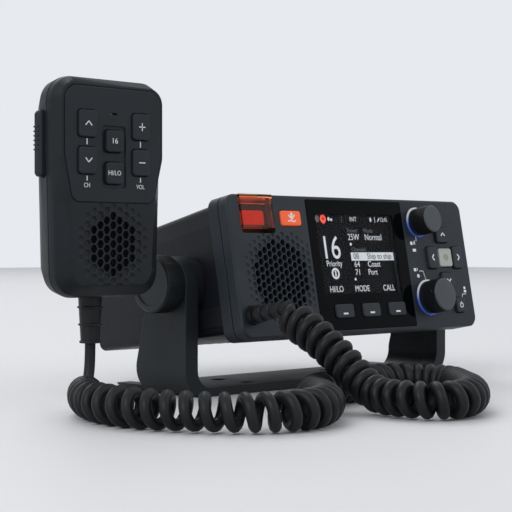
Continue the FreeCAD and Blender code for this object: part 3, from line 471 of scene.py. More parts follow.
def artwork(name, place, outlines=(), words=(), thickness=0.00006):
    """Printed marks as one closed mesh on the face of place.

    They are outlines, and words as (text, size, x, y, squeeze), in millimetres.
    """
    shape = bmesh.new()
    for outline in outlines:
        low = [shape.verts.new((x / 1000, y / 1000, 0)) for x, y in outline]
        high = [shape.verts.new((x / 1000, y / 1000, thickness)) for x, y in outline]
        shape.faces.new(high)
        shape.faces.new(low[::-1])
        for i in range(len(outline)):
            k = (i + 1) % len(outline)
            shape.faces.new((low[i], low[k], high[k], high[i]))
    for text, size, x, y, squeeze in words:
        curve = bpy.data.curves.new(name, "FONT")
        curve.body = text
        curve.size = size / 1000
        curve.extrude = thickness / 2
        curve.align_x = "CENTER"
        curve.align_y = "CENTER"
        curve.resolution_u = 5
        letters = real_mesh(added(name, curve))
        letters_place = Matrix.Translation((x / 1000, y / 1000, thickness / 2))
        letters.transform(letters_place @ Matrix.Diagonal((squeeze, 1, 1, 1)))
        shape.from_mesh(letters)
    bmesh.ops.remove_doubles(shape, verts=shape.verts, dist=1e-7)
    bmesh.ops.dissolve_degenerate(shape, edges=shape.edges, dist=1e-7)
    bmesh.ops.recalc_face_normals(shape, faces=shape.faces)
    mesh = finished(name, shape)
    mesh.materials.clear()
    mesh.transform(place @ face_on)
    return mesh


def away_from_holes(here):
    """True away from the screw holes and the stud holes."""
    from_screw = math.hypot(abs(here.x) - base_hole_x, abs(here.y) - base_hole_y)
    from_stud = math.hypot(here.y - stud_axis_y, here.z - stud_axis_z)
    return not (from_screw < screw_clear and here.z < base_top) and from_stud >= stud_clear


bracket_black = moulded_plastic("bracket_black", (0.0135, 0.0175, 0.0200))
white_print = paint("white_print", (0.72, 0.74, 0.75), glow=0.10)
bracket_mesh = smoothed(eased("bracket", bracket_edge, chosen=away_from_holes))
dressed("bracket_moulding", bracket_mesh, bracket_black, "bracket", "bracket_plastic", "bracket")
# The painted highlight on the base's front edge, in white print that glows a little.
base_glint_place = Matrix.Translation((base_glint_x, base_front_y, 0))
dressed("base_painted_glint", artwork("base_painted_glint", base_glint_place, [base_glint]), white_print, "bracket",
        "bracket_plastic")


# ---- Clamp knobs ---------------------------------------------------------------------------------------
# A round knob each side, with fine ribs to grip, moulded round the head of a steel stud. The stud runs
# through a steel washer, the arm and a rubber friction washer into a brass insert in the case.

clamp_rib_count = 88
clamp_rib_width = 0.00062
clamp_rib_length = 0.0088
clamp_grip_radius = 0.01448
clamp_edge = 0.0003


def tree_of(name, sizes):
    """An empty Geometry Nodes tree with these named sizes, and the sockets that give them."""
    tree = bpy.data.node_groups.new(name, "GeometryNodeTree")
    for label, kind, value in sizes:
        socket = tree.interface.new_socket(label, in_out="INPUT", socket_type=f"NodeSocket{kind}")
        socket.default_value = value
    tree.interface.new_socket("Finish", in_out="INPUT", socket_type="NodeSocketMaterial")
    tree.interface.new_socket("Geometry", in_out="OUTPUT", socket_type="NodeSocketGeometry")
    return tree, tree.nodes.new("NodeGroupInput").outputs


def deliver(tree, sizes, instances):
    """The end of a tree: real meshes, smoothly shaded, in their finish."""
    real = node(tree, "GeometryNodeRealizeInstances", {"Geometry": instances}).outputs["Geometry"]
    smooth = node(tree, "GeometryNodeSetShadeSmooth", {0: real}).outputs[0]
    painted = node(tree, "GeometryNodeSetMaterial", {"Geometry": smooth, "Material": sizes["Finish"]})
    node(tree, "NodeGroupOutput", {"Geometry": painted.outputs["Geometry"]})
    return tree


def grown(tree, place, finish, sizes):
    """The mesh that a tree makes with these sizes, put in its place."""
    seed = added(tree.name, bpy.data.meshes.new(tree.name))
    maker = seed.modifiers.new(tree.name, "NODES")
    maker.node_group = tree
    for item in tree.interface.items_tree:
        if item.in_out == "INPUT":
            maker[item.identifier] = finish if item.name == "Finish" else sizes[item.name]
    mesh = real_mesh(seed)
    mesh.transform(place)
    return mesh


def grip_ribs():
    """Round-backed ribs standing in a ring about Z, each running along Z."""
    tree, sizes = tree_of("grip_ribs", [("Ribs", "Int", 60), ("Grip radius", "Float", 0.01),
                                        ("Rib width", "Float", 0.0006), ("Rib length", "Float", 0.009)])
    ring = node(tree, "GeometryNodeMeshCircle", {"Vertices": sizes["Ribs"], "Radius": sizes["Grip radius"]})
    half = maths(tree, "MULTIPLY", sizes["Rib width"], 0.5)
    rib = node(tree, "GeometryNodeMeshCylinder", {"Vertices": 8, "Radius": half,
                                                  "Depth": sizes["Rib length"]})
    ribs = node(tree, "GeometryNodeInstanceOnPoints", {"Points": ring.outputs["Mesh"],
                                                       "Instance": rib.outputs["Mesh"]})
    return deliver(tree, sizes, ribs.outputs["Instances"])


def turned_metal(name, colour, gloss=(0.22, 0.38), lines=2600.0):
    """Bare metal with the fine rings that a lathe leaves, and a few duller patches."""
    material, tree, shader, place = blank_finish(name)
    cloud = noise(tree, place, 120.0, 4.0)
    ring = noise(tree, place, lines, 1.0)
    tint = grade(tree, cloud, (0.30, shaded(colour, 0.82)), (0.70, colour))
    dull = spread(tree, cloud, *gloss)
    feed(tree, shader, {"Metallic": 1.0, "Base Color": tint, "Roughness": dull,
                        "Normal": bump(tree, ring, 0.12, 0.00004)})
    return material


def carried_over(material, *names):
    """CAD pieces that keep their own shape, in this finish."""
    for name in names:
        if nodes[name].material_slots:
            nodes[name].material_slots[0].material = material
        else:
            nodes[name].data.materials.append(material)


def knob_top_finish(name, colour, centre, spin=1400.0):
    """The turned face of a knob: very fine rings about its centre, given in metres."""
    material = moulded_plastic(name, colour, gloss=(0.30, 0.40), edge_wear_and_highlight=0.2)
    tree = material.node_tree
    place = node(tree, "ShaderNodeTexCoord").outputs["Object"]
    arm = node(tree, "ShaderNodeVectorMath", {0: place, 1: centre}, operation="SUBTRACT").outputs["Vector"]
    reach = node(tree, "ShaderNodeVectorMath", {0: arm}, operation="LENGTH").outputs["Value"]
    rings = maths(tree, "SINE", maths(tree, "MULTIPLY", reach, spin * 2 * math.pi))
    feed(tree, tree.nodes["Principled BSDF"], {"Normal": bump(tree, rings, 0.10, 0.00003)})
    return material


def two_tone(mesh, first, second, is_first):
    """Give the mesh two finishes: the first on the faces that is_first picks, the second on the rest."""
    mesh.materials.append(first)
    mesh.materials.append(second)
    for face in mesh.polygons:
        face.material_index = 0 if is_first(face) else 1


knob_black = moulded_plastic("knob_black", (0.0075, 0.0085, 0.0100), gloss=(0.36, 0.46), edge_wear_and_highlight=0.30)
steel = turned_metal("steel", (0.56, 0.57, 0.58))
brass = turned_metal("brass", (0.62, 0.43, 0.18))
washer_rubber = rubber("washer_rubber", (0.008, 0.0085, 0.0095), gloss=(0.55, 0.72))
grip_tree = grip_ribs()
for side in ("left", "right"):
    low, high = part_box(f"{side}_gimbal_knob")
    middle = (low + high) / 2
    knob_mesh = smoothed(eased(f"{side}_gimbal_knob", clamp_edge))
    # The clamp knob's end face is painted far lighter than its ribbed side: painted light, standing in for
    # the light that falls on the face from the left.
    knob_face = knob_top_finish(f"{side}_clamp_face_painted_light", (0.0225, 0.0300, 0.0340), middle)
    two_tone(knob_mesh, knob_face, knob_black, lambda face: abs(face.normal.x) > 0.9)
    dressed(f"{side}_clamp_moulding", knob_mesh, knob_face, f"{side}_clamp_knob", "knob_plastic",
            f"{side}_gimbal_knob")
    upright = Matrix.Translation(middle) @ Matrix.Rotation(math.pi / 2, 4, "Y")
    ribs = grown(grip_tree, upright, knob_black, {
        "Ribs": clamp_rib_count, "Grip radius": clamp_grip_radius, "Rib width": clamp_rib_width,
        "Rib length": clamp_rib_length})
    dressed(f"{side}_clamp_ribs", ribs, knob_black, f"{side}_clamp_knob", "knob_plastic")
    carried_over(steel, f"{side}_knob_washer", f"{side}_gimbal_stud")
carried_over(washer_rubber, "friction_washers")
carried_over(brass, "gimbal_inserts")


# ---- Rear case -----------------------------------------------------------------------------------------
# A deep box moulding behind the panel, tapering to the back, with a skirt along each lower side and cooling
# slots across the back. Four long screws clamp it, the board and the panel together against a rubber gasket.

case_edge = 0.0004

case_black = moulded_plastic("case_black", (0.0085, 0.0105, 0.0135))
case_mesh = smoothed(eased("rear_case", case_edge, steps=2))
dressed("case_moulding", case_mesh, case_black, "radio", "case_plastic", "rear_case")
gasket_rubber = rubber("gasket_rubber", (0.012, 0.0125, 0.014), gloss=(0.60, 0.78))
carried_over(gasket_rubber, "bezel_gasket")
carried_over(steel, "case_screws")


# ---- Boards, loudspeaker and screen module -------------------------------------------------------------
# A display board behind the panel carries the screen, the switches and the encoders; the main board lies
# flat in the case. The loudspeaker's paper cone shows through the honeycomb.


def circuit_board(name, mask, copper):
    """Solder mask over copper tracks: a fine blocky pattern with pale pads."""
    material, tree, shader, place = blank_finish(name)
    tracks = node(tree, "ShaderNodeTexVoronoi", {"Vector": place, "Scale": 260.0}, distance="MANHATTAN")
    pads = node(tree, "ShaderNodeTexVoronoi", {"Vector": place, "Scale": 420.0, "Randomness": 0.2})
    lay = grade(tree, tracks.outputs["Distance"], (0.30, shaded(mask, 1.6)), (0.42, mask))
    pad = spread(tree, pads.outputs["Distance"], 0.0, 1.0, 0.16, 0.12)
    rough = spread(tree, tracks.outputs["Distance"], 0.30, 0.55)
    both = mixed(tree, pad, lay, (*copper, 1))
    feed(tree, shader, {"Base Color": both, "Metallic": pad, "Roughness": rough})
    return material


board_green = circuit_board("board_green", (0.012, 0.075, 0.030), (0.60, 0.42, 0.20))
speaker_paper = moulded_plastic("speaker_paper", (0.006, 0.0065, 0.007), gloss=(0.66, 0.85), edge_wear_and_highlight=0.0,
                                grain_size=1800.0)
part_black = moulded_plastic("part_black", (0.015, 0.015, 0.016), gloss=(0.40, 0.55))
carried_over(board_green, "display_board", "main_board", "handset_board")
carried_over(speaker_paper, "radio_speaker", "handset_speaker")
carried_over(part_black, "knob_encoders")
carried_over(steel, "upper_shaft", "lower_shaft")


# ---- Front panel ---------------------------------------------------------------------------------------
# One slate-grey moulding with a bevelled front edge and a groove round its side. Honeycomb holes open over
# the loudspeaker, and hexagonal pits that grow shallower and smaller run out from them across the face.

axis_tilt = math.radians(-10.7)
radio_place = Matrix.Translation((0, stud_axis_y, stud_axis_z)) @ Matrix.Rotation(axis_tilt, 4, "X")
panel_face = -0.040
speaker_x = -0.062
speaker_z = -0.004
grille_columns = 17
grille_reach = 0.0195
grille_pitch = 0.004
grille_flats = 0.0033
pits_reach = 0.0272
pits_right = 0.0212
pits_height = 0.0222
pit_depth = 0.0009
last_pit_depth = 0.22
last_pit_width = 0.62
bezel_edge = 0.00030
face_margin = 0.0002


def honeycomb_pits():
    """Cutters for the pits round a honeycomb: six-sided, on its grid, smaller and shallower outwards."""
    tree, sizes = tree_of("honeycomb_pits", [
        ("Columns", "Int", 15), ("Rows", "Int", 15), ("Pitch", "Float", 0.004), ("Flats", "Float", 0.0033),
        ("Depth", "Float", 0.001), ("Holes reach", "Float", 0.02), ("Pits reach", "Float", 0.027),
        ("Side limit", "Float", 0.02), ("Height limit", "Float", 0.02)])

    def worked(operation, a, b=0.0):
        """What the operation makes of a and b in this tree."""
        return maths(tree, operation, a, b)

    column = worked("MULTIPLY", sizes["Pitch"], math.sqrt(3) / 2)
    wide = worked("MULTIPLY", worked("SUBTRACT", sizes["Columns"], 1.0), column)
    high = worked("MULTIPLY", worked("SUBTRACT", sizes["Rows"], 1.0), sizes["Pitch"])
    grid = node(tree, "GeometryNodeMeshGrid", {"Size X": wide, "Size Y": high, "Vertices X": sizes["Columns"],
                                               "Vertices Y": sizes["Rows"]}).outputs["Mesh"]
    spot = node(tree, "ShaderNodeSeparateXYZ", {0: node(tree, "GeometryNodeInputPosition").outputs[0]})
    number = worked("ABSOLUTE", worked("ROUND", worked("DIVIDE", spot.outputs["X"], column)))
    odd = worked("MODULO", number, 2.0)
    lift = worked("MULTIPLY", worked("MULTIPLY", odd, sizes["Pitch"]), 0.5)
    shift = node(tree, "ShaderNodeCombineXYZ", {"Y": lift}).outputs["Vector"]
    staggered = node(tree, "GeometryNodeSetPosition", {"Geometry": grid, "Offset": shift}).outputs["Geometry"]
    where = node(tree, "GeometryNodeInputPosition").outputs[0]
    part = node(tree, "ShaderNodeSeparateXYZ", {0: where})
    reach = node(tree, "ShaderNodeVectorMath", {0: where}, operation="LENGTH").outputs["Value"]
    inside = worked("LESS_THAN", reach, worked("ADD", sizes["Holes reach"], 0.00001))
    beyond = worked("GREATER_THAN", reach, sizes["Pits reach"])
    sideways = worked("GREATER_THAN", part.outputs["X"], sizes["Side limit"])
    too_high = worked("GREATER_THAN", part.outputs["Y"], sizes["Height limit"])
    unwanted = worked("MAXIMUM", worked("MAXIMUM", inside, beyond), worked("MAXIMUM", sideways, too_high))
    kept = node(tree, "GeometryNodeDeleteGeometry", {"Geometry": staggered, "Selection": unwanted},
                domain="POINT")
    shallow = spread(tree, reach, 1.0, last_pit_depth, sizes["Holes reach"], sizes["Pits reach"])
    narrow = spread(tree, reach, 1.0, last_pit_width, sizes["Holes reach"], sizes["Pits reach"])
    scale = node(tree, "ShaderNodeCombineXYZ", {"X": narrow, "Y": narrow, "Z": shallow}).outputs["Vector"]
    corner = worked("DIVIDE", sizes["Flats"], math.sqrt(3))
    cutter = node(tree, "GeometryNodeMeshCylinder", {"Vertices": 6, "Radius": corner,
                                                     "Depth": worked("MULTIPLY", sizes["Depth"], 2.0)})
    cutters = node(tree, "GeometryNodeInstanceOnPoints", {"Points": kept.outputs["Geometry"],
                                                          "Instance": cutter.outputs["Mesh"], "Scale": scale})
    return deliver(tree, sizes, cutters.outputs["Instances"])


def carved(mesh, cutter):
    """The mesh with the cutter's shapes taken out of it."""
    block = added("block", mesh)
    tool = added("tool", cutter)
    cut_away = block.modifiers.new("carved", "BOOLEAN")
    cut_away.operation = "DIFFERENCE"
    cut_away.solver = "EXACT"
    cut_away.object = tool
    result = real_mesh(block)
    bpy.data.objects.remove(tool)
    result.materials.clear()
    return result


def on_panel_face(here):
    """True on the edges that lie in the panel's front face."""
    return (radio_place.inverted() @ here).y < panel_face + face_margin


slate = moulded_plastic("slate", (0.0175, 0.0230, 0.0290), gloss=(0.38, 0.50), edge_wear_and_highlight=0.60)
pits_tree = honeycomb_pits()
speaker_front = radio_place @ Matrix.Translation((speaker_x, panel_face, speaker_z)) @ face_on
pit_cutters = grown(pits_tree, speaker_front, slate, {
    "Columns": grille_columns, "Rows": grille_columns, "Pitch": grille_pitch, "Flats": grille_flats,
    "Depth": pit_depth, "Holes reach": grille_reach, "Pits reach": pits_reach, "Side limit": pits_right,
    "Height limit": pits_height})
bezel_mesh = smoothed(carved(eased("front_bezel", bezel_edge, steps=2, chosen=on_panel_face), pit_cutters))
dressed("bezel_moulding", bezel_mesh, slate, "radio", "bezel_plastic", "front_bezel")


# ---- Screen --------------------------------------------------------------------------------------------
# A pane of smoked glass, printed black on its back except over the lit screen. The screen stands just behind
# it and shows the channel, its power and mode, a short channel list and what the three soft keys do.

window_left = -0.032
window_right = 0.031
window_low = -0.01370
window_high = 0.02975
screen_face = -0.03703
chosen_lift = 0.00012


def window_glass(name):
    """Clear glass with a faint film of finger marks."""
    material, tree, shader, place = blank_finish(name)
    smear = noise(tree, place, 70.0, 6.0)
    film = spread(tree, smear, 0.005, 0.03, start=0.45)
    shade = grade(tree, smear, (0.3, (0.93, 0.94, 0.95)), (0.8, (0.98, 0.98, 0.98)))
    feed(tree, shader, {"Transmission Weight": 1.0, "IOR": 1.10, "Base Color": shade, "Roughness": film})
    return material


def black_glass(name):
    """Coated glass printed black behind: deep gloss with a faint film of finger marks."""
    material, tree, shader, place = blank_finish(name)
    smear = noise(tree, place, 45.0, 6.0)
    film = spread(tree, smear, 0.045, 0.14, start=0.40)
    shade = grade(tree, smear, (0.3, (0.0012, 0.0015, 0.0020)), (0.8, (0.0026, 0.0030, 0.0038)))
    feed(tree, shader, {"Base Color": shade, "Roughness": film, "Specular IOR Level": 0.05})
    return material


def lit_screen(name):
    """The dark screen with its faint backlight bleeding in at the edges."""
    material, tree, shader, place = blank_finish(name)
    bleed = noise(tree, place, 22.0)
    glow = grade(tree, bleed, (0.3, (0.0006, 0.0008, 0.0012)), (0.8, (0.0018, 0.0022, 0.0032)))
    feed(tree, shader, {"Base Color": glow, "Emission Color": glow, "Emission Strength": 0.6,
                        "Specular IOR Level": 0.04, "Roughness": 0.25})
    return material


def windowed(shape):
    """The glass as a mesh whose faces over the window take the second finish."""
    shape.transform(radio_place.inverted())
    for place, way in (((window_left, 0, 0), (1, 0, 0)), ((window_right, 0, 0), (1, 0, 0)),
                       ((0, 0, window_low), (0, 0, 1)), ((0, 0, window_high), (0, 0, 1))):
        everything = shape.verts[:] + shape.edges[:] + shape.faces[:]
        bmesh.ops.bisect_plane(shape, geom=everything, plane_co=place, plane_no=way)
    for face in shape.faces:
        middle = face.calc_center_median()
        over = window_left < middle.x < window_right and window_low < middle.z < window_high
        if over and abs(face.normal.y) > 0.9:
            face.material_index = 1
    shape.transform(radio_place)
    return finished("screen_pane", shape)


status_row = 27.5
title_row = 21.2
value_row = 17.5
chosen_row = 6.85
next_row = 2.5
last_row = -1.9
key_row = -10.9
number_column = -0.4
name_column = 7.2
alert_x = -22.8
light_words = [
    ("16", 17.8, -19.9, 11.2, 0.90), ("Priority", 4.6, -18.6, 3.0, 0.88), ("25W", 5.0, -0.3, value_row, 0.92),
    ("Normal", 5.0, 16.0, value_row, 0.92),
    ("64", 4.6, number_column, next_row, 1.0), ("71", 4.6, number_column, last_row, 1.0),
    ("Coast", 4.6, name_column + 6.4, next_row, 0.95), ("Port", 4.6, name_column + 4.6, last_row, 0.95),
    ("HI/LO", 4.7, -19.5, key_row, 0.90), ("MODE", 4.7, 1.2, key_row, 0.90),
    ("CALL", 4.7, 23.4, key_row, 0.90), ("INT", 3.6, 1.3, status_row, 1.0),
    ("12:45", 3.4, 26.8, status_row, 0.85)]
light_marks = [
    bow(-18.6, -2.3, 2.5, 0, 359, 1.2), stroke(-18.6, -3.9, -18.6, -0.7, 1.0),
    disc(-3.3, 13.7, 1.6), disc(-3.3, -5.6, 1.5), disc(-18.4, status_row, 1.7, 2.2),
    disc(-16.3, status_row - 0.4, 1.6, 1.6), disc(15.8, status_row, 1.5, 2.6),
    stroke(19.4, status_row - 1.6, 19.4, status_row + 1.6, 0.35),
    stroke(21.6, status_row - 1.0, 23.4, status_row + 1.0, 0.7)]
faint_words = [
    ("Power", 3.3, -0.6, title_row, 1.0), ("Mode", 3.3, 12.4, title_row, 1.0),
    ("Channels", 3.2, 2.6, 10.7, 1.0)]
faint_marks = [
    disc(-27.4, status_row, 3.0, 4.0), stroke(-8.0, status_row - 1.8, -8.0, status_row + 1.8, 0.3)]
chosen_bar = [(-4.4, 4.6), (33.6, 4.6), (33.6, 9.1), (-4.4, 9.1)]
chosen_words = [
    ("08", 4.6, number_column, chosen_row, 1.0), ("Ship to ship", 4.6, name_column + 11.6, chosen_row, 0.95)]

pane_black = black_glass("pane_black")
glass_mesh = smoothed(windowed(merged("screen_glass")))
glass_mesh.materials.append(pane_black)
glass_mesh.materials.append(window_glass("pane_clear"))
dressed("screen_pane", glass_mesh, pane_black, "radio", "screen_glass", "screen_glass")
carried_over(lit_screen("screen_dark"), "lcd_module")

screen_place = radio_place @ Matrix.Translation((0, screen_face, 0))
screen_light = paint("screen_light", (0.42, 0.44, 0.46), glow=0.9)
screen_faint = paint("screen_faint", (0.055, 0.060, 0.070), glow=1.0)
screen_red = paint("screen_red", (0.75, 0.06, 0.03), glow=1.0)
screen_ink = paint("screen_ink", (0.012, 0.014, 0.018))
above_row = radio_place @ Matrix.Translation((0, screen_face - chosen_lift, 0))
alert_marks = [disc(alert_x, status_row, 4.6, 4.6), stroke(alert_x, 27, alert_x, 24.8, 1.0)]
for name, place, marks, words, finish in (
        ("screen_readings", screen_place, light_marks + [chosen_bar], light_words, screen_light),
        ("screen_small_print", screen_place, faint_marks, faint_words, screen_faint),
        ("screen_alert", screen_place, alert_marks, [], screen_red),
        ("screen_chosen_channel", above_row, [disc(alert_x, status_row, 1.4)], chosen_words, screen_ink)):
    dressed(name, artwork(name, place, marks, words), finish, "radio", "lcd")


# ---- Keys of the panel ---------------------------------------------------------------------------------
# Separate hard key caps, each with a lip behind the panel: four direction keys round a pale select key, a
# small power key, three soft keys through the glass and the orange man-overboard key.

key_round = 0.00020
key_marks_lift = 0.00003
pad_x = 72.3
pad_z = 5.3
pad_side = 11.6
pad_rise = 13.4
power_x = 80.5
power_z = -22.5
soft_key_x = (-19.05, 2.5, 24.05)
soft_mark_z = -24.5
mob_x = -50.8
mob_z = 26.75
chevron_reach = 1.75
chevron_rise = 1.7
chevron_line = 0.75


def chevron(x, y, way_x, way_y):
    """Two strokes that meet in a point towards the way given."""
    tip = (x + way_x * chevron_rise / 2, y + way_y * chevron_rise / 2)
    feet = [(x - way_x * chevron_rise / 2 + side * way_y * chevron_reach,
             y - way_y * chevron_rise / 2 + side * way_x * chevron_reach) for side in (-1, 1)]
    return [stroke(*tip, *foot, chevron_line) for foot in feet]


def key_face(name):
    """The flat that a key's mark is printed on, as a place in the radio's frame."""
    front = min((radio_place.inverted() @ v.co).y for v in nodes[name].data.vertices)
    return radio_place @ Matrix.Translation((0, front - key_marks_lift, 0))


def backlit(material, colour, glow):
    """A key's plastic, lit a little from behind."""
    tree = material.node_tree
    feed(tree, tree.nodes["Principled BSDF"], {"Emission Color": (*colour, 1), "Emission Strength": glow})


key_slate = moulded_plastic("key_slate", (0.0215, 0.0275, 0.0340), gloss=(0.42, 0.54), edge_wear_and_highlight=0.55)
select_white = moulded_plastic("select_white", (0.40, 0.405, 0.365), gloss=(0.35, 0.45), edge_wear_and_highlight=0.10)
mob_orange = moulded_plastic("mob_orange", (0.78, 0.115, 0.038), gloss=(0.32, 0.42), edge_wear_and_highlight=0.12)
backlit(mob_orange, (0.80, 0.11, 0.03), 0.18)
mark_grey = paint("mark_grey", (0.20, 0.21, 0.21))
swimmer = [
    disc(mob_x + 0.2, mob_z + 2.2, 1.5), stroke(mob_x - 2.2, mob_z + 1.6, mob_x - 0.2, mob_z - 0.4, 0.7),
    stroke(mob_x + 2.4, mob_z + 1.8, mob_x + 0.4, mob_z - 0.4, 0.7),
    stroke(mob_x, mob_z + 1.4, mob_x + 0.1, mob_z - 1.0, 1.4),
    stroke(mob_x - 3.0, mob_z - 1.8, mob_x - 1.0, mob_z - 1.3, 0.6),
    stroke(mob_x - 1.0, mob_z - 1.3, mob_x + 1.0, mob_z - 1.9, 0.6),
    stroke(mob_x + 1.0, mob_z - 1.9, mob_x + 3.0, mob_z - 1.4, 0.6)]
panel_key_list = [
    ("left_key", key_slate, "key_plastic", chevron(pad_x - pad_side, pad_z, -1, 0), white_print),
    ("right_key", key_slate, "key_plastic", chevron(pad_x + pad_side, pad_z, 1, 0), white_print),
    ("up_key", key_slate, "key_plastic", chevron(pad_x, pad_z + pad_rise, 0, 1), white_print),
    ("down_key", key_slate, "key_plastic", chevron(pad_x, pad_z - pad_rise, 0, -1), white_print),
    ("select_key", select_white, "white_key", [bow(pad_x, pad_z, 1.5, 0, 359, 0.5), disc(pad_x, pad_z, 1.0)],
     mark_grey),
    ("power_key", key_slate, "key_plastic",
     [bow(power_x, power_z - 0.2, 1.35, 120, 420, 0.5),
      stroke(power_x, power_z + 0.1, power_x, power_z + 1.9, 0.5)],
     white_print),
    ("mob_key", mob_orange, "orange_key", swimmer, white_print)]
for name, x in zip(("soft_key_left", "soft_key_middle", "soft_key_right"), soft_key_x):
    dash = [stroke(x - 2.0, soft_mark_z, x + 1.6, soft_mark_z, 0.9)]
    panel_key_list.append((name, key_slate, "key_plastic", dash, white_print))
for name, finish, slot_name, marks, ink in panel_key_list:
    cap = smoothed(eased(name, key_round))
    dressed(f"{name}_cap", cap, finish, name, slot_name, name)
    dressed(f"{name}_mark", artwork(f"{name}_mark", key_face(name), marks), ink, name, slot_name)


# ---- Printed legends of the panel ----------------------------------------------------------------------
# Small signs in white ink, printed on the moulding, for what each rotary knob and the power key do. Thin
# lines lead from them to the knobs and the key.

squelch_x = 46.4
squelch_z = 12.4
volume_x = 46.2
volume_z = -3.4
panel_marks = [
    disc(squelch_x - 1.4, squelch_z + 1.4, 2.2, 2.2),
    stroke(squelch_x + 0.6, squelch_z + 0.6, squelch_x + 0.6, squelch_z + 2.4, 0.5),
    stroke(squelch_x + 1.6, squelch_z + 0.6, squelch_x + 1.6, squelch_z + 3.0, 0.5),
    stroke(squelch_x - 1.0, squelch_z - 2.6, squelch_x + 1.8, squelch_z - 2.6, 1.6),
    stroke(squelch_x + 3.2, squelch_z + 2.6, squelch_x + 3.2, squelch_z + 5.0, 0.35),
    stroke(volume_x - 2.4, volume_z + 2.0, volume_x - 0.4, volume_z + 2.0, 1.8),
    stroke(volume_x + 0.6, volume_z + 1.4, volume_x + 0.6, volume_z + 3.0, 0.5),
    disc(volume_x + 0.8, volume_z - 1.6, 2.2),
    stroke(volume_x + 2.2, volume_z + 1.2, volume_x + 5.6, volume_z + 1.2, 0.35),
    stroke(volume_x + 5.6, volume_z + 1.2, volume_x + 7.2, volume_z - 4.6, 0.35),
    disc(87.6, -12.6, 1.8), stroke(86.6, -14.6, 88.8, -14.6, 1.4), stroke(85.0, -16.2, 88.4, -16.2, 0.35),
    stroke(85.0, -16.2, 84.2, -18.0, 0.35)]
panel_print_place = radio_place @ Matrix.Translation((0, panel_face - key_marks_lift, 0))
dressed("panel_legends", artwork("panel_legends", panel_print_place, panel_marks), white_print, "radio",
        "bezel_plastic")


# ---- Rotary knobs --------------------------------------------------------------------------------------
# Two push-and-turn knobs with fine straight knurls and a turned, slightly lighter end face. Each turns on a
# steel shaft from its encoder, inside a light ring that glows white above and blue below.

knob_list = {"upper": (0.0525, 0.0258, 0.0153, 60), "lower": (0.0539, -0.0175, 0.0185, 72)}
knob_rib_width = 0.00055
knob_rib_length = 0.0092
knob_rib_sink = 0.00005
knob_middle_y = -0.0470
knob_ring_width = 0.00105
lit_rim = 0.0007
lit_fade = 0.0004
knob_round = 0.00025
knob_rim_y = -0.0517
knob_end_y = -0.0524


def light_ring(name, centre, radius):
    """A frosted ring, black but for its outer rim, which is lit white at the top and blue at the foot."""
    material, tree, shader, place = blank_finish(name)
    height = node(tree, "ShaderNodeSeparateXYZ", {0: place}).outputs["Z"]
    rise = spread(tree, height, 0.0, 1.0, centre.z - radius, centre.z + radius)
    frost = noise(tree, place, 700.0)
    hue = grade(tree, rise, (0.10, (0.012, 0.035, 0.20)), (0.45, (0.035, 0.075, 0.36)),
                (0.72, (0.30, 0.34, 0.40)), (1.0, (0.36, 0.38, 0.40)))
    reach = node(tree, "ShaderNodeVectorMath", {0: place, 1: centre}, operation="DISTANCE").outputs["Value"]
    lit = spread(tree, reach, 0.0, 1.0, radius - lit_rim - lit_fade, radius - lit_rim)
    glow = mixed(tree, lit, (0.006, 0.007, 0.008, 1), hue)
    rough = spread(tree, frost, 0.30, 0.50)
    feed(tree, shader, {"Base Color": glow, "Emission Color": glow, "Emission Strength": 0.75,
                        "Roughness": rough})
    return material


ring_finishes = []
for which, (x, z, width, rib_count) in knob_list.items():
    centre = radio_place @ Vector((x, knob_end_y, z))
    finish = knob_top_finish(f"{which}_knob_face", (0.060, 0.068, 0.074), centre)
    cap = smoothed(eased(f"{which}_knob", knob_round))
    two_tone(cap, finish, knob_black, lambda face: (radio_place.inverted() @ face.center).y < knob_rim_y)
    dressed(f"{which}_knob_cap", cap, finish, f"{which}_knob", "knob_plastic", f"{which}_knob")
    upright = radio_place @ Matrix.Translation((x, knob_middle_y, z)) @ face_on
    ribs = grown(grip_tree, upright, knob_black, {
        "Ribs": rib_count, "Grip radius": width / 2 - knob_rib_sink, "Rib width": knob_rib_width,
        "Rib length": knob_rib_length})
    dressed(f"{which}_knob_knurl", ribs, knob_black, f"{which}_knob", "knob_plastic")
    ring_centre = radio_place @ Vector((x, panel_face, z))
    ring_finishes.append((x, light_ring(f"{which}_ring_light", ring_centre, width / 2 + knob_ring_width)))

rings = bmesh.new()
rings.from_mesh(nodes["knob_light_rings"].data)
bmesh.ops.remove_doubles(rings, verts=rings.verts, dist=merge_gap)
between = (knob_list["upper"][1] + knob_list["lower"][1]) / 2
for face in rings.faces:
    face.material_index = 0 if (radio_place.inverted() @ face.calc_center_median()).z > between else 1
ring_mesh = smoothed(finished("knob_rings", rings))
for x, finish in ring_finishes:
    ring_mesh.materials.append(finish)
dressed("knob_rings", ring_mesh, ring_finishes[0][1], "radio", "light_guide", "knob_light_rings")


# ---- Distress button -----------------------------------------------------------------------------------
# A red button sunk in a pocket at the top left, under a clear amber cover that flips up on a steel pin along
# the panel's top edge.

cover_edge = 0.00010


def amber_plastic(name):
    """Clear amber acrylic, deeper in colour where it is thick, with fine scratches."""
    material, tree, shader, place = blank_finish(name)
    haze = noise(tree, place, 160.0, 5.0)
    tint = grade(tree, haze, (0.3, (0.86, 0.27, 0.085)), (0.8, (0.92, 0.33, 0.12)))
    rough = spread(tree, haze, 0.02, 0.09)
    feed(tree, shader, {"Transmission Weight": 1.0, "IOR": 1.35, "Base Color": tint, "Roughness": rough})
    return material


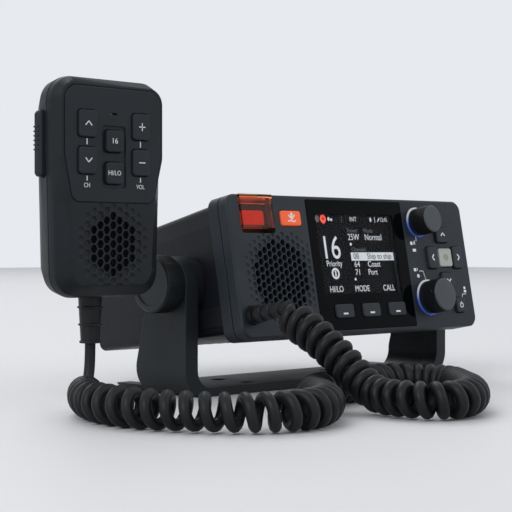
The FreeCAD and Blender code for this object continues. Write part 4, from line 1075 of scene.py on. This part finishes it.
button_red = moulded_plastic("button_red", (0.70, 0.065, 0.024), gloss=(0.30, 0.42), edge_wear_and_highlight=0.15)
backlit(button_red, (0.85, 0.08, 0.02), 0.16)
button_mesh = smoothed(eased("distress_button", key_round))
dressed("distress_button_cap", button_mesh, button_red, "distress_button", "red_button", "distress_button")
cover_mesh = smoothed(eased("distress_cover", cover_edge))
dressed("distress_cover_clear", cover_mesh, amber_plastic("amber_clear"), "distress_cover", "amber_clear",
        "distress_cover")
carried_over(steel, "distress_hinge_pin")


# ---- Sockets on the back -------------------------------------------------------------------------------
# A nickel-plated antenna socket with its outside thread and white insulator, and a black round power socket
# with two pins, both held by a flange through the back wall.

thread_rings = 13
thread_pitch = 0.00106
thread_from_y = 0.0826
thread_radius = 0.00784
thread_thickness = 0.00058
antenna_x = -0.062
antenna_mouth_y = 0.0960
insulator_radius = 4.25
insulator_width = 3.5
insulator_rise = 0.0003
power_socket_x = 0.062
power_mouth_y = 0.0845
pin_offset = 2.6
pin_width = 2.0
pin_length = 0.0052


def stacked_rings():
    """Round rings stacked along Z, their width changing evenly from the first to the last."""
    tree, sizes = tree_of("stacked_rings", [
        ("Rings", "Int", 8), ("Pitch", "Float", 0.002), ("First radius", "Float", 0.004),
        ("Last radius", "Float", 0.003), ("Thickness", "Float", 0.001), ("Stretch", "Float", 1.0)])
    step = node(tree, "ShaderNodeCombineXYZ", {"Z": sizes["Pitch"]}).outputs["Vector"]
    line = node(tree, "GeometryNodeMeshLine", {"Count": sizes["Rings"], "Offset": step}).outputs["Mesh"]
    half = maths(tree, "MULTIPLY", sizes["Thickness"], 0.5)
    profile = node(tree, "GeometryNodeCurvePrimitiveCircle", {"Resolution": 8, "Radius": half})
    hoop = node(tree, "GeometryNodeCurvePrimitiveCircle", {"Resolution": 40, "Radius": sizes["First radius"]})
    ring = node(tree, "GeometryNodeCurveToMesh", {"Curve": hoop.outputs["Curve"],
                                                  "Profile Curve": profile.outputs["Curve"]})
    index = node(tree, "GeometryNodeInputIndex").outputs["Index"]
    last = maths(tree, "SUBTRACT", sizes["Rings"], 1.0)
    narrowest = maths(tree, "DIVIDE", sizes["Last radius"], sizes["First radius"])
    share = spread(tree, index, 1.0, narrowest, 0.0, last)
    size = node(tree, "ShaderNodeCombineXYZ", {"X": share, "Y": share, "Z": sizes["Stretch"]})
    rings = node(tree, "GeometryNodeInstanceOnPoints", {"Points": line, "Instance": ring.outputs["Mesh"],
                                                        "Scale": size.outputs["Vector"]})
    return deliver(tree, sizes, rings.outputs["Instances"])


nickel = turned_metal("nickel", (0.62, 0.61, 0.57), gloss=(0.14, 0.26))
insulator_white = paint("insulator_white", (0.62, 0.60, 0.54))
rings_tree = stacked_rings()
face_back = Matrix.Rotation(math.radians(-90), 4, "X")
thread_place = radio_place @ Matrix.Translation((antenna_x, thread_from_y, 0)) @ face_back
thread = grown(rings_tree, thread_place, nickel, {
    "Rings": thread_rings, "Pitch": thread_pitch, "Thickness": thread_thickness,
    "First radius": thread_radius, "Last radius": thread_radius, "Stretch": 1.0})
dressed("antenna_thread", thread, nickel, "radio", "nickel")
carried_over(nickel, "antenna_socket")
to_the_back = radio_place @ Matrix.Rotation(math.pi, 4, "Z")
insulator = artwork("antenna_insulator", to_the_back @ Matrix.Translation((-antenna_x, -antenna_mouth_y, 0)),
                    [bow(0, 0, insulator_radius, 0, 359.9, insulator_width)], thickness=insulator_rise)
dressed("antenna_insulator", insulator, insulator_white, "radio", "nickel")
carried_over(part_black, "power_socket")
power_pins = artwork("power_pins", to_the_back @ Matrix.Translation((-power_socket_x, -power_mouth_y, 0)),
                     [disc(-pin_offset, 0, pin_width), disc(pin_offset, 0, pin_width)],
                     thickness=pin_length)
dressed("power_pins", power_pins, brass, "radio", "brass")


# ---- Strain relief on the panel ------------------------------------------------------------------------
# A tapered black rubber boot pushed through the panel's lower left corner and held by a clip behind it. It is
# ribbed round so that it bends with the cord.

boot_x = -0.087
boot_z = -0.023
boot_rib_from = 0.0062
boot_rings = 4
boot_pitch = 0.0061
boot_first_radius = 0.0040
boot_last_radius = 0.0030
boot_thickness = 0.0012
boot_band = 4.6

boot_rubber = rubber("boot_rubber", (0.0080, 0.0085, 0.0098), gloss=(0.34, 0.50))
boot_place = radio_place @ Matrix.Translation((boot_x, panel_face - boot_rib_from, boot_z)) @ face_on
boot_ribs = grown(rings_tree, boot_place, boot_rubber, {
    "Rings": boot_rings, "Pitch": boot_pitch, "Thickness": boot_thickness,
    "First radius": boot_first_radius, "Last radius": boot_last_radius, "Stretch": boot_band})
dressed("cord_boot_ribs", boot_ribs, boot_rubber, "radio", "rubber")
carried_over(boot_rubber, "mic_cord_boot")


# ---- Handset shells ------------------------------------------------------------------------------------
# Two charcoal mouldings, narrower below the keys, closed on a rubber seal by four screws from the back. A
# smooth face plate carries the keys, and a honeycomb opens over the small loudspeaker.

handset_y = -0.0428
handset_z = 0.1261
handset_place = Matrix.Translation((lead_x, handset_y, handset_z))
hand_speaker_z = -0.048
hand_grille_columns = 13
hand_grille_pitch = 0.0044
hand_grille_reach = 0.015
hand_flats = 0.0037
hand_pits_reach = 0.0212
hand_pits_side = 0.0200
hand_pits_height = 0.0185
hand_pit_depth = 0.0008
hand_waist_z = -0.030
upper_half = 0.0286
lower_half = 0.0236
hand_top_z = 0.0253
hand_foot_z = -0.0652
shoulder_front = 0.003
shoulder_back = 0.0065
shell_edge = 0.0003
back_edge = 0.0002
plate_edge = 0.00015


def outer_rim(here):
    """True on the handset's outer edges, clear of its holes."""
    place = handset_place.inverted() @ here
    half = lower_half if place.z < hand_waist_z else upper_half
    return abs(place.x) > half or place.z > hand_top_z or place.z < hand_foot_z


def shoulder(here):
    """True on the front shell's edge where its face turns to its side."""
    return outer_rim(here) and shoulder_front < (handset_place.inverted() @ here).y < shoulder_back


# The handset's mouldings have wide lightened edges, and the plate's are lightest: a painted highlight along
# the rounded edges, with some wear.
hand_black = moulded_plastic("hand_black", (0.0080, 0.0104, 0.0130), gloss=(0.40, 0.52), edge_wear_and_highlight=0.50,
                             edge=0.0012)
hand_plate = moulded_plastic("hand_plate", (0.0110, 0.0142, 0.0175), gloss=(0.36, 0.46), edge_wear_and_highlight=0.75,
                             grain_size=7000.0)
seal_rubber = rubber("seal_rubber", (0.008, 0.0085, 0.0095), gloss=(0.50, 0.66))
hand_front = handset_place @ Matrix.Translation((0, 0, hand_speaker_z)) @ face_on
hand_cutters = grown(pits_tree, hand_front, hand_black, {
    "Columns": hand_grille_columns, "Rows": hand_grille_columns, "Pitch": hand_grille_pitch,
    "Flats": hand_flats, "Depth": hand_pit_depth, "Holes reach": hand_grille_reach,
    "Pits reach": hand_pits_reach, "Side limit": hand_pits_side, "Height limit": hand_pits_height})
front_mesh = smoothed(carved(eased("handset_front_shell", shell_edge, chosen=shoulder), hand_cutters))
dressed("handset_front_moulding", front_mesh, hand_black, "handset", "bezel_plastic", "handset_front_shell")
back_mesh = smoothed(eased("handset_back_shell", back_edge, chosen=outer_rim))
dressed("handset_back_moulding", back_mesh, hand_black, "handset", "case_plastic", "handset_back_shell")
plate_mesh = smoothed(eased("handset_face_plate", plate_edge, steps=2))
dressed("handset_plate_moulding", plate_mesh, hand_plate, "handset", "bezel_plastic", "handset_face_plate")
carried_over(seal_rubber, "handset_seal")
carried_over(steel, "handset_screws", "handset_microphone", "hanger_button")


# ---- Handset keys --------------------------------------------------------------------------------------
# Six rubber-faced keys: channel up and down on the left, volume up and down on the right, and between them
# the keys for channel 16 and for high or low power. Their signs are printed; ticks lead to CH and VOL.

hand_key_column = 16.0
hand_key_upper = 7.75
hand_key_lower = -9.25
middle_key_upper = 0.25
middle_key_lower = -14.75
hand_key_face = -0.00193
plate_face = -0.00053
sign = 1.9
sign_line = 0.5
legend_row = -20.8

key_rubber = moulded_plastic("key_rubber", (0.0150, 0.0190, 0.0230), gloss=(0.48, 0.62), edge_wear_and_highlight=0.70,
                             edge=0.0008)
hand_print = paint("hand_print", (0.62, 0.63, 0.61), glow=0.08)
hand_key_place = handset_place @ Matrix.Translation((0, hand_key_face, 0))


def arrow_head(foot, tip):
    """Two strokes on a channel key that meet at the tip's height."""
    return [stroke(-hand_key_column + way * sign, foot, -hand_key_column, tip, sign_line) for way in (-1, 1)]


def level_stroke(z):
    """The level stroke of a plus or a minus on a volume key."""
    return stroke(hand_key_column - sign, z, hand_key_column + sign, z, sign_line)


plus = [level_stroke(hand_key_upper),
        stroke(hand_key_column, hand_key_upper - sign, hand_key_column, hand_key_upper + sign, sign_line)]
hand_key_list = [
    ("channel_up_key", arrow_head(hand_key_upper - 0.9, hand_key_upper + 1.1), []),
    ("channel_down_key", arrow_head(hand_key_lower + 1.1, hand_key_lower - 0.9), []),
    ("volume_up_key", plus, []),
    ("volume_down_key", [level_stroke(hand_key_lower)], []),
    ("sixteen_key", [], [("16", 3.6, -0.7, middle_key_upper, 1.10)]),
    ("high_low_key", [], [("HI/LO", 3.1, -0.8, middle_key_lower, 0.98)])]
for name, marks, words in hand_key_list:
    cap = smoothed(eased(name, key_round))
    dressed(f"{name}_cap", cap, key_rubber, name, "key_rubber", name)
    sign_mesh = artwork(f"{name}_sign", hand_key_place, marks, words)
    dressed(f"{name}_sign", sign_mesh, hand_print, name, "key_rubber")
ticks = [stroke(x, z, x, z - length, 0.55) for x in (-hand_key_column, hand_key_column)
         for z, length in ((0.9, 2.8), (-16.4, 2.2))]
plate_words = [
    ("CH", 2.9, -hand_key_column, legend_row, 0.9), ("VOL", 2.9, hand_key_column, legend_row, 0.9)]
plate_place = handset_place @ Matrix.Translation((0, plate_face, 0))
dressed("handset_legends", artwork("handset_legends", plate_place, ticks, plate_words), hand_print, "handset",
        "bezel_plastic")


# ---- Push-to-talk bar ----------------------------------------------------------------------------------
# A long rubber-faced bar that comes out through a slot in the handset's left side. A lip behind the slot
# holds it in, and six short ribs moulded across it keep the thumb from slipping.

ptt_rib_count = 6
ptt_rib_pitch = 0.0021
ptt_rib_width = 0.0008
ptt_rib_length = 0.0034
ptt_rib_top = 0.0060
bar_edge = 0.00025
bar_border = 0.0016
bar_behind_face = 0.01295


def ribs_in_a_row():
    """Round-backed ribs lying along X, one below the other down Z."""
    tree, sizes = tree_of("ribs_in_a_row", [("Ribs", "Int", 6), ("Pitch", "Float", 0.002),
                                            ("Rib width", "Float", 0.0008), ("Rib length", "Float", 0.003)])
    down = maths(tree, "MULTIPLY", sizes["Pitch"], -1.0)
    step = node(tree, "ShaderNodeCombineXYZ", {"Z": down}).outputs["Vector"]
    line = node(tree, "GeometryNodeMeshLine", {"Count": sizes["Ribs"], "Offset": step}).outputs["Mesh"]
    half = maths(tree, "MULTIPLY", sizes["Rib width"], 0.5)
    rib = node(tree, "GeometryNodeMeshCylinder", {"Vertices": 10, "Radius": half,
                                                  "Depth": sizes["Rib length"]})
    ribs = node(tree, "GeometryNodeInstanceOnPoints", {"Points": line, "Instance": rib.outputs["Mesh"],
                                                       "Rotation": (0, math.pi / 2, 0)})
    return deliver(tree, sizes, ribs.outputs["Instances"])


bar_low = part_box("ptt_bar")[0]


def outer_face(here):
    """True on the bar's sloping border and outwards."""
    return here.x < bar_low.x + bar_border


bar_mesh = smoothed(eased("ptt_bar", bar_edge, chosen=outer_face))
dressed("talk_bar_moulding", bar_mesh, key_rubber, "ptt_bar", "key_rubber", "ptt_bar")
talk_top = Vector((bar_low.x, handset_y + bar_behind_face, handset_z + ptt_rib_top))
talk_place = Matrix.Translation(talk_top) @ Matrix.Rotation(math.pi / 2, 4, "Z")
talk_ribs = grown(ribs_in_a_row(), talk_place, key_rubber, {
    "Ribs": ptt_rib_count, "Pitch": ptt_rib_pitch, "Rib width": ptt_rib_width, "Rib length": ptt_rib_length})
dressed("talk_bar_ribs", talk_ribs, key_rubber, "ptt_bar", "key_rubber")


# ---- Strain relief of the handset ----------------------------------------------------------------------
# A thick tapered boot of black rubber with flat rings. Its neck is pressed into the foot of the handset,
# between the two shells, and the cord's straight end goes up into it.

hand_boot_top = 0.0481
hand_boot_rings = 3
hand_boot_pitch = 0.0083
hand_boot_first_radius = 0.0056
hand_boot_last_radius = 0.0047
hand_boot_thickness = 0.0013

hand_boot_place = Matrix.Translation((lead_x, lead_y, hand_boot_top)) @ Matrix.Rotation(math.pi, 4, "X")
hand_boot_ribs = grown(rings_tree, hand_boot_place, boot_rubber, {
    "Rings": hand_boot_rings, "Pitch": hand_boot_pitch, "Thickness": hand_boot_thickness,
    "First radius": hand_boot_first_radius, "Last radius": hand_boot_last_radius, "Stretch": 1.0})
dressed("handset_boot_ribs", hand_boot_ribs, boot_rubber, "handset", "rubber")
carried_over(boot_rubber, "handset_boot")


# ---- Floor and light -----------------------------------------------------------------------------------
# A plain pale studio floor painted matt, three large soft lamps over it and a pale surround, so that the dark
# plastics show their shapes by what they reflect.

floor_mesh = bpy.data.meshes.new("floor")
floor_mesh.from_pydata([(-4, -4, 0), (4, -4, 0), (4, 4, 0), (-4, 4, 0)], [], [(0, 1, 2, 3)])
floor = added("floor", floor_mesh)
floor_paint, floor_tree, floor_shader = blank_finish("floor_paint")[:3]
feed(floor_tree, floor_shader, {"Base Color": (0.70, 0.70, 0.71, 1), "Roughness": 0.55})
floor.data.materials.append(floor_paint)

world = bpy.data.worlds.new("studio")
bpy.context.scene.world = world
world.use_nodes = True
sky = world.node_tree
rays = node(sky, "ShaderNodeLightPath").outputs
seen = maths(sky, "MAXIMUM", rays["Is Camera Ray"], rays["Is Glossy Ray"])
seen_or_through = maths(sky, "MAXIMUM", seen, rays["Is Transmission Ray"])
level = spread(sky, seen_or_through, 0.72, 1.0)
feed(sky, sky.nodes["Background"], {"Color": (0.80, 0.82, 0.86, 1), "Strength": level})


def soft_lamp(name, place, aim, size, power):
    """A square lamp at the place, turned towards what it lights."""
    lamp_data = bpy.data.lights.new(name, "AREA")
    lamp_data.size = size
    lamp_data.energy = power
    lamp = added(name, lamp_data)
    lamp.location = place
    lamp.rotation_euler = (Vector(aim) - Vector(place)).to_track_quat("-Z", "Y").to_euler()


soft_lamp("key_lamp", (-3.0, -0.9, 2.1), (-0.05, -0.03, 0.06), 1.9, 52.0)
soft_lamp("fill_lamp", (1.3, -2.8, 2.0), (0, 0, 0.05), 2.2, 15.0)
soft_lamp("top_lamp", (0.8, 2.1, 2.9), (0, 0, 0.05), 2.1, 36.0)
bpy.context.scene.view_settings.view_transform = "Standard"
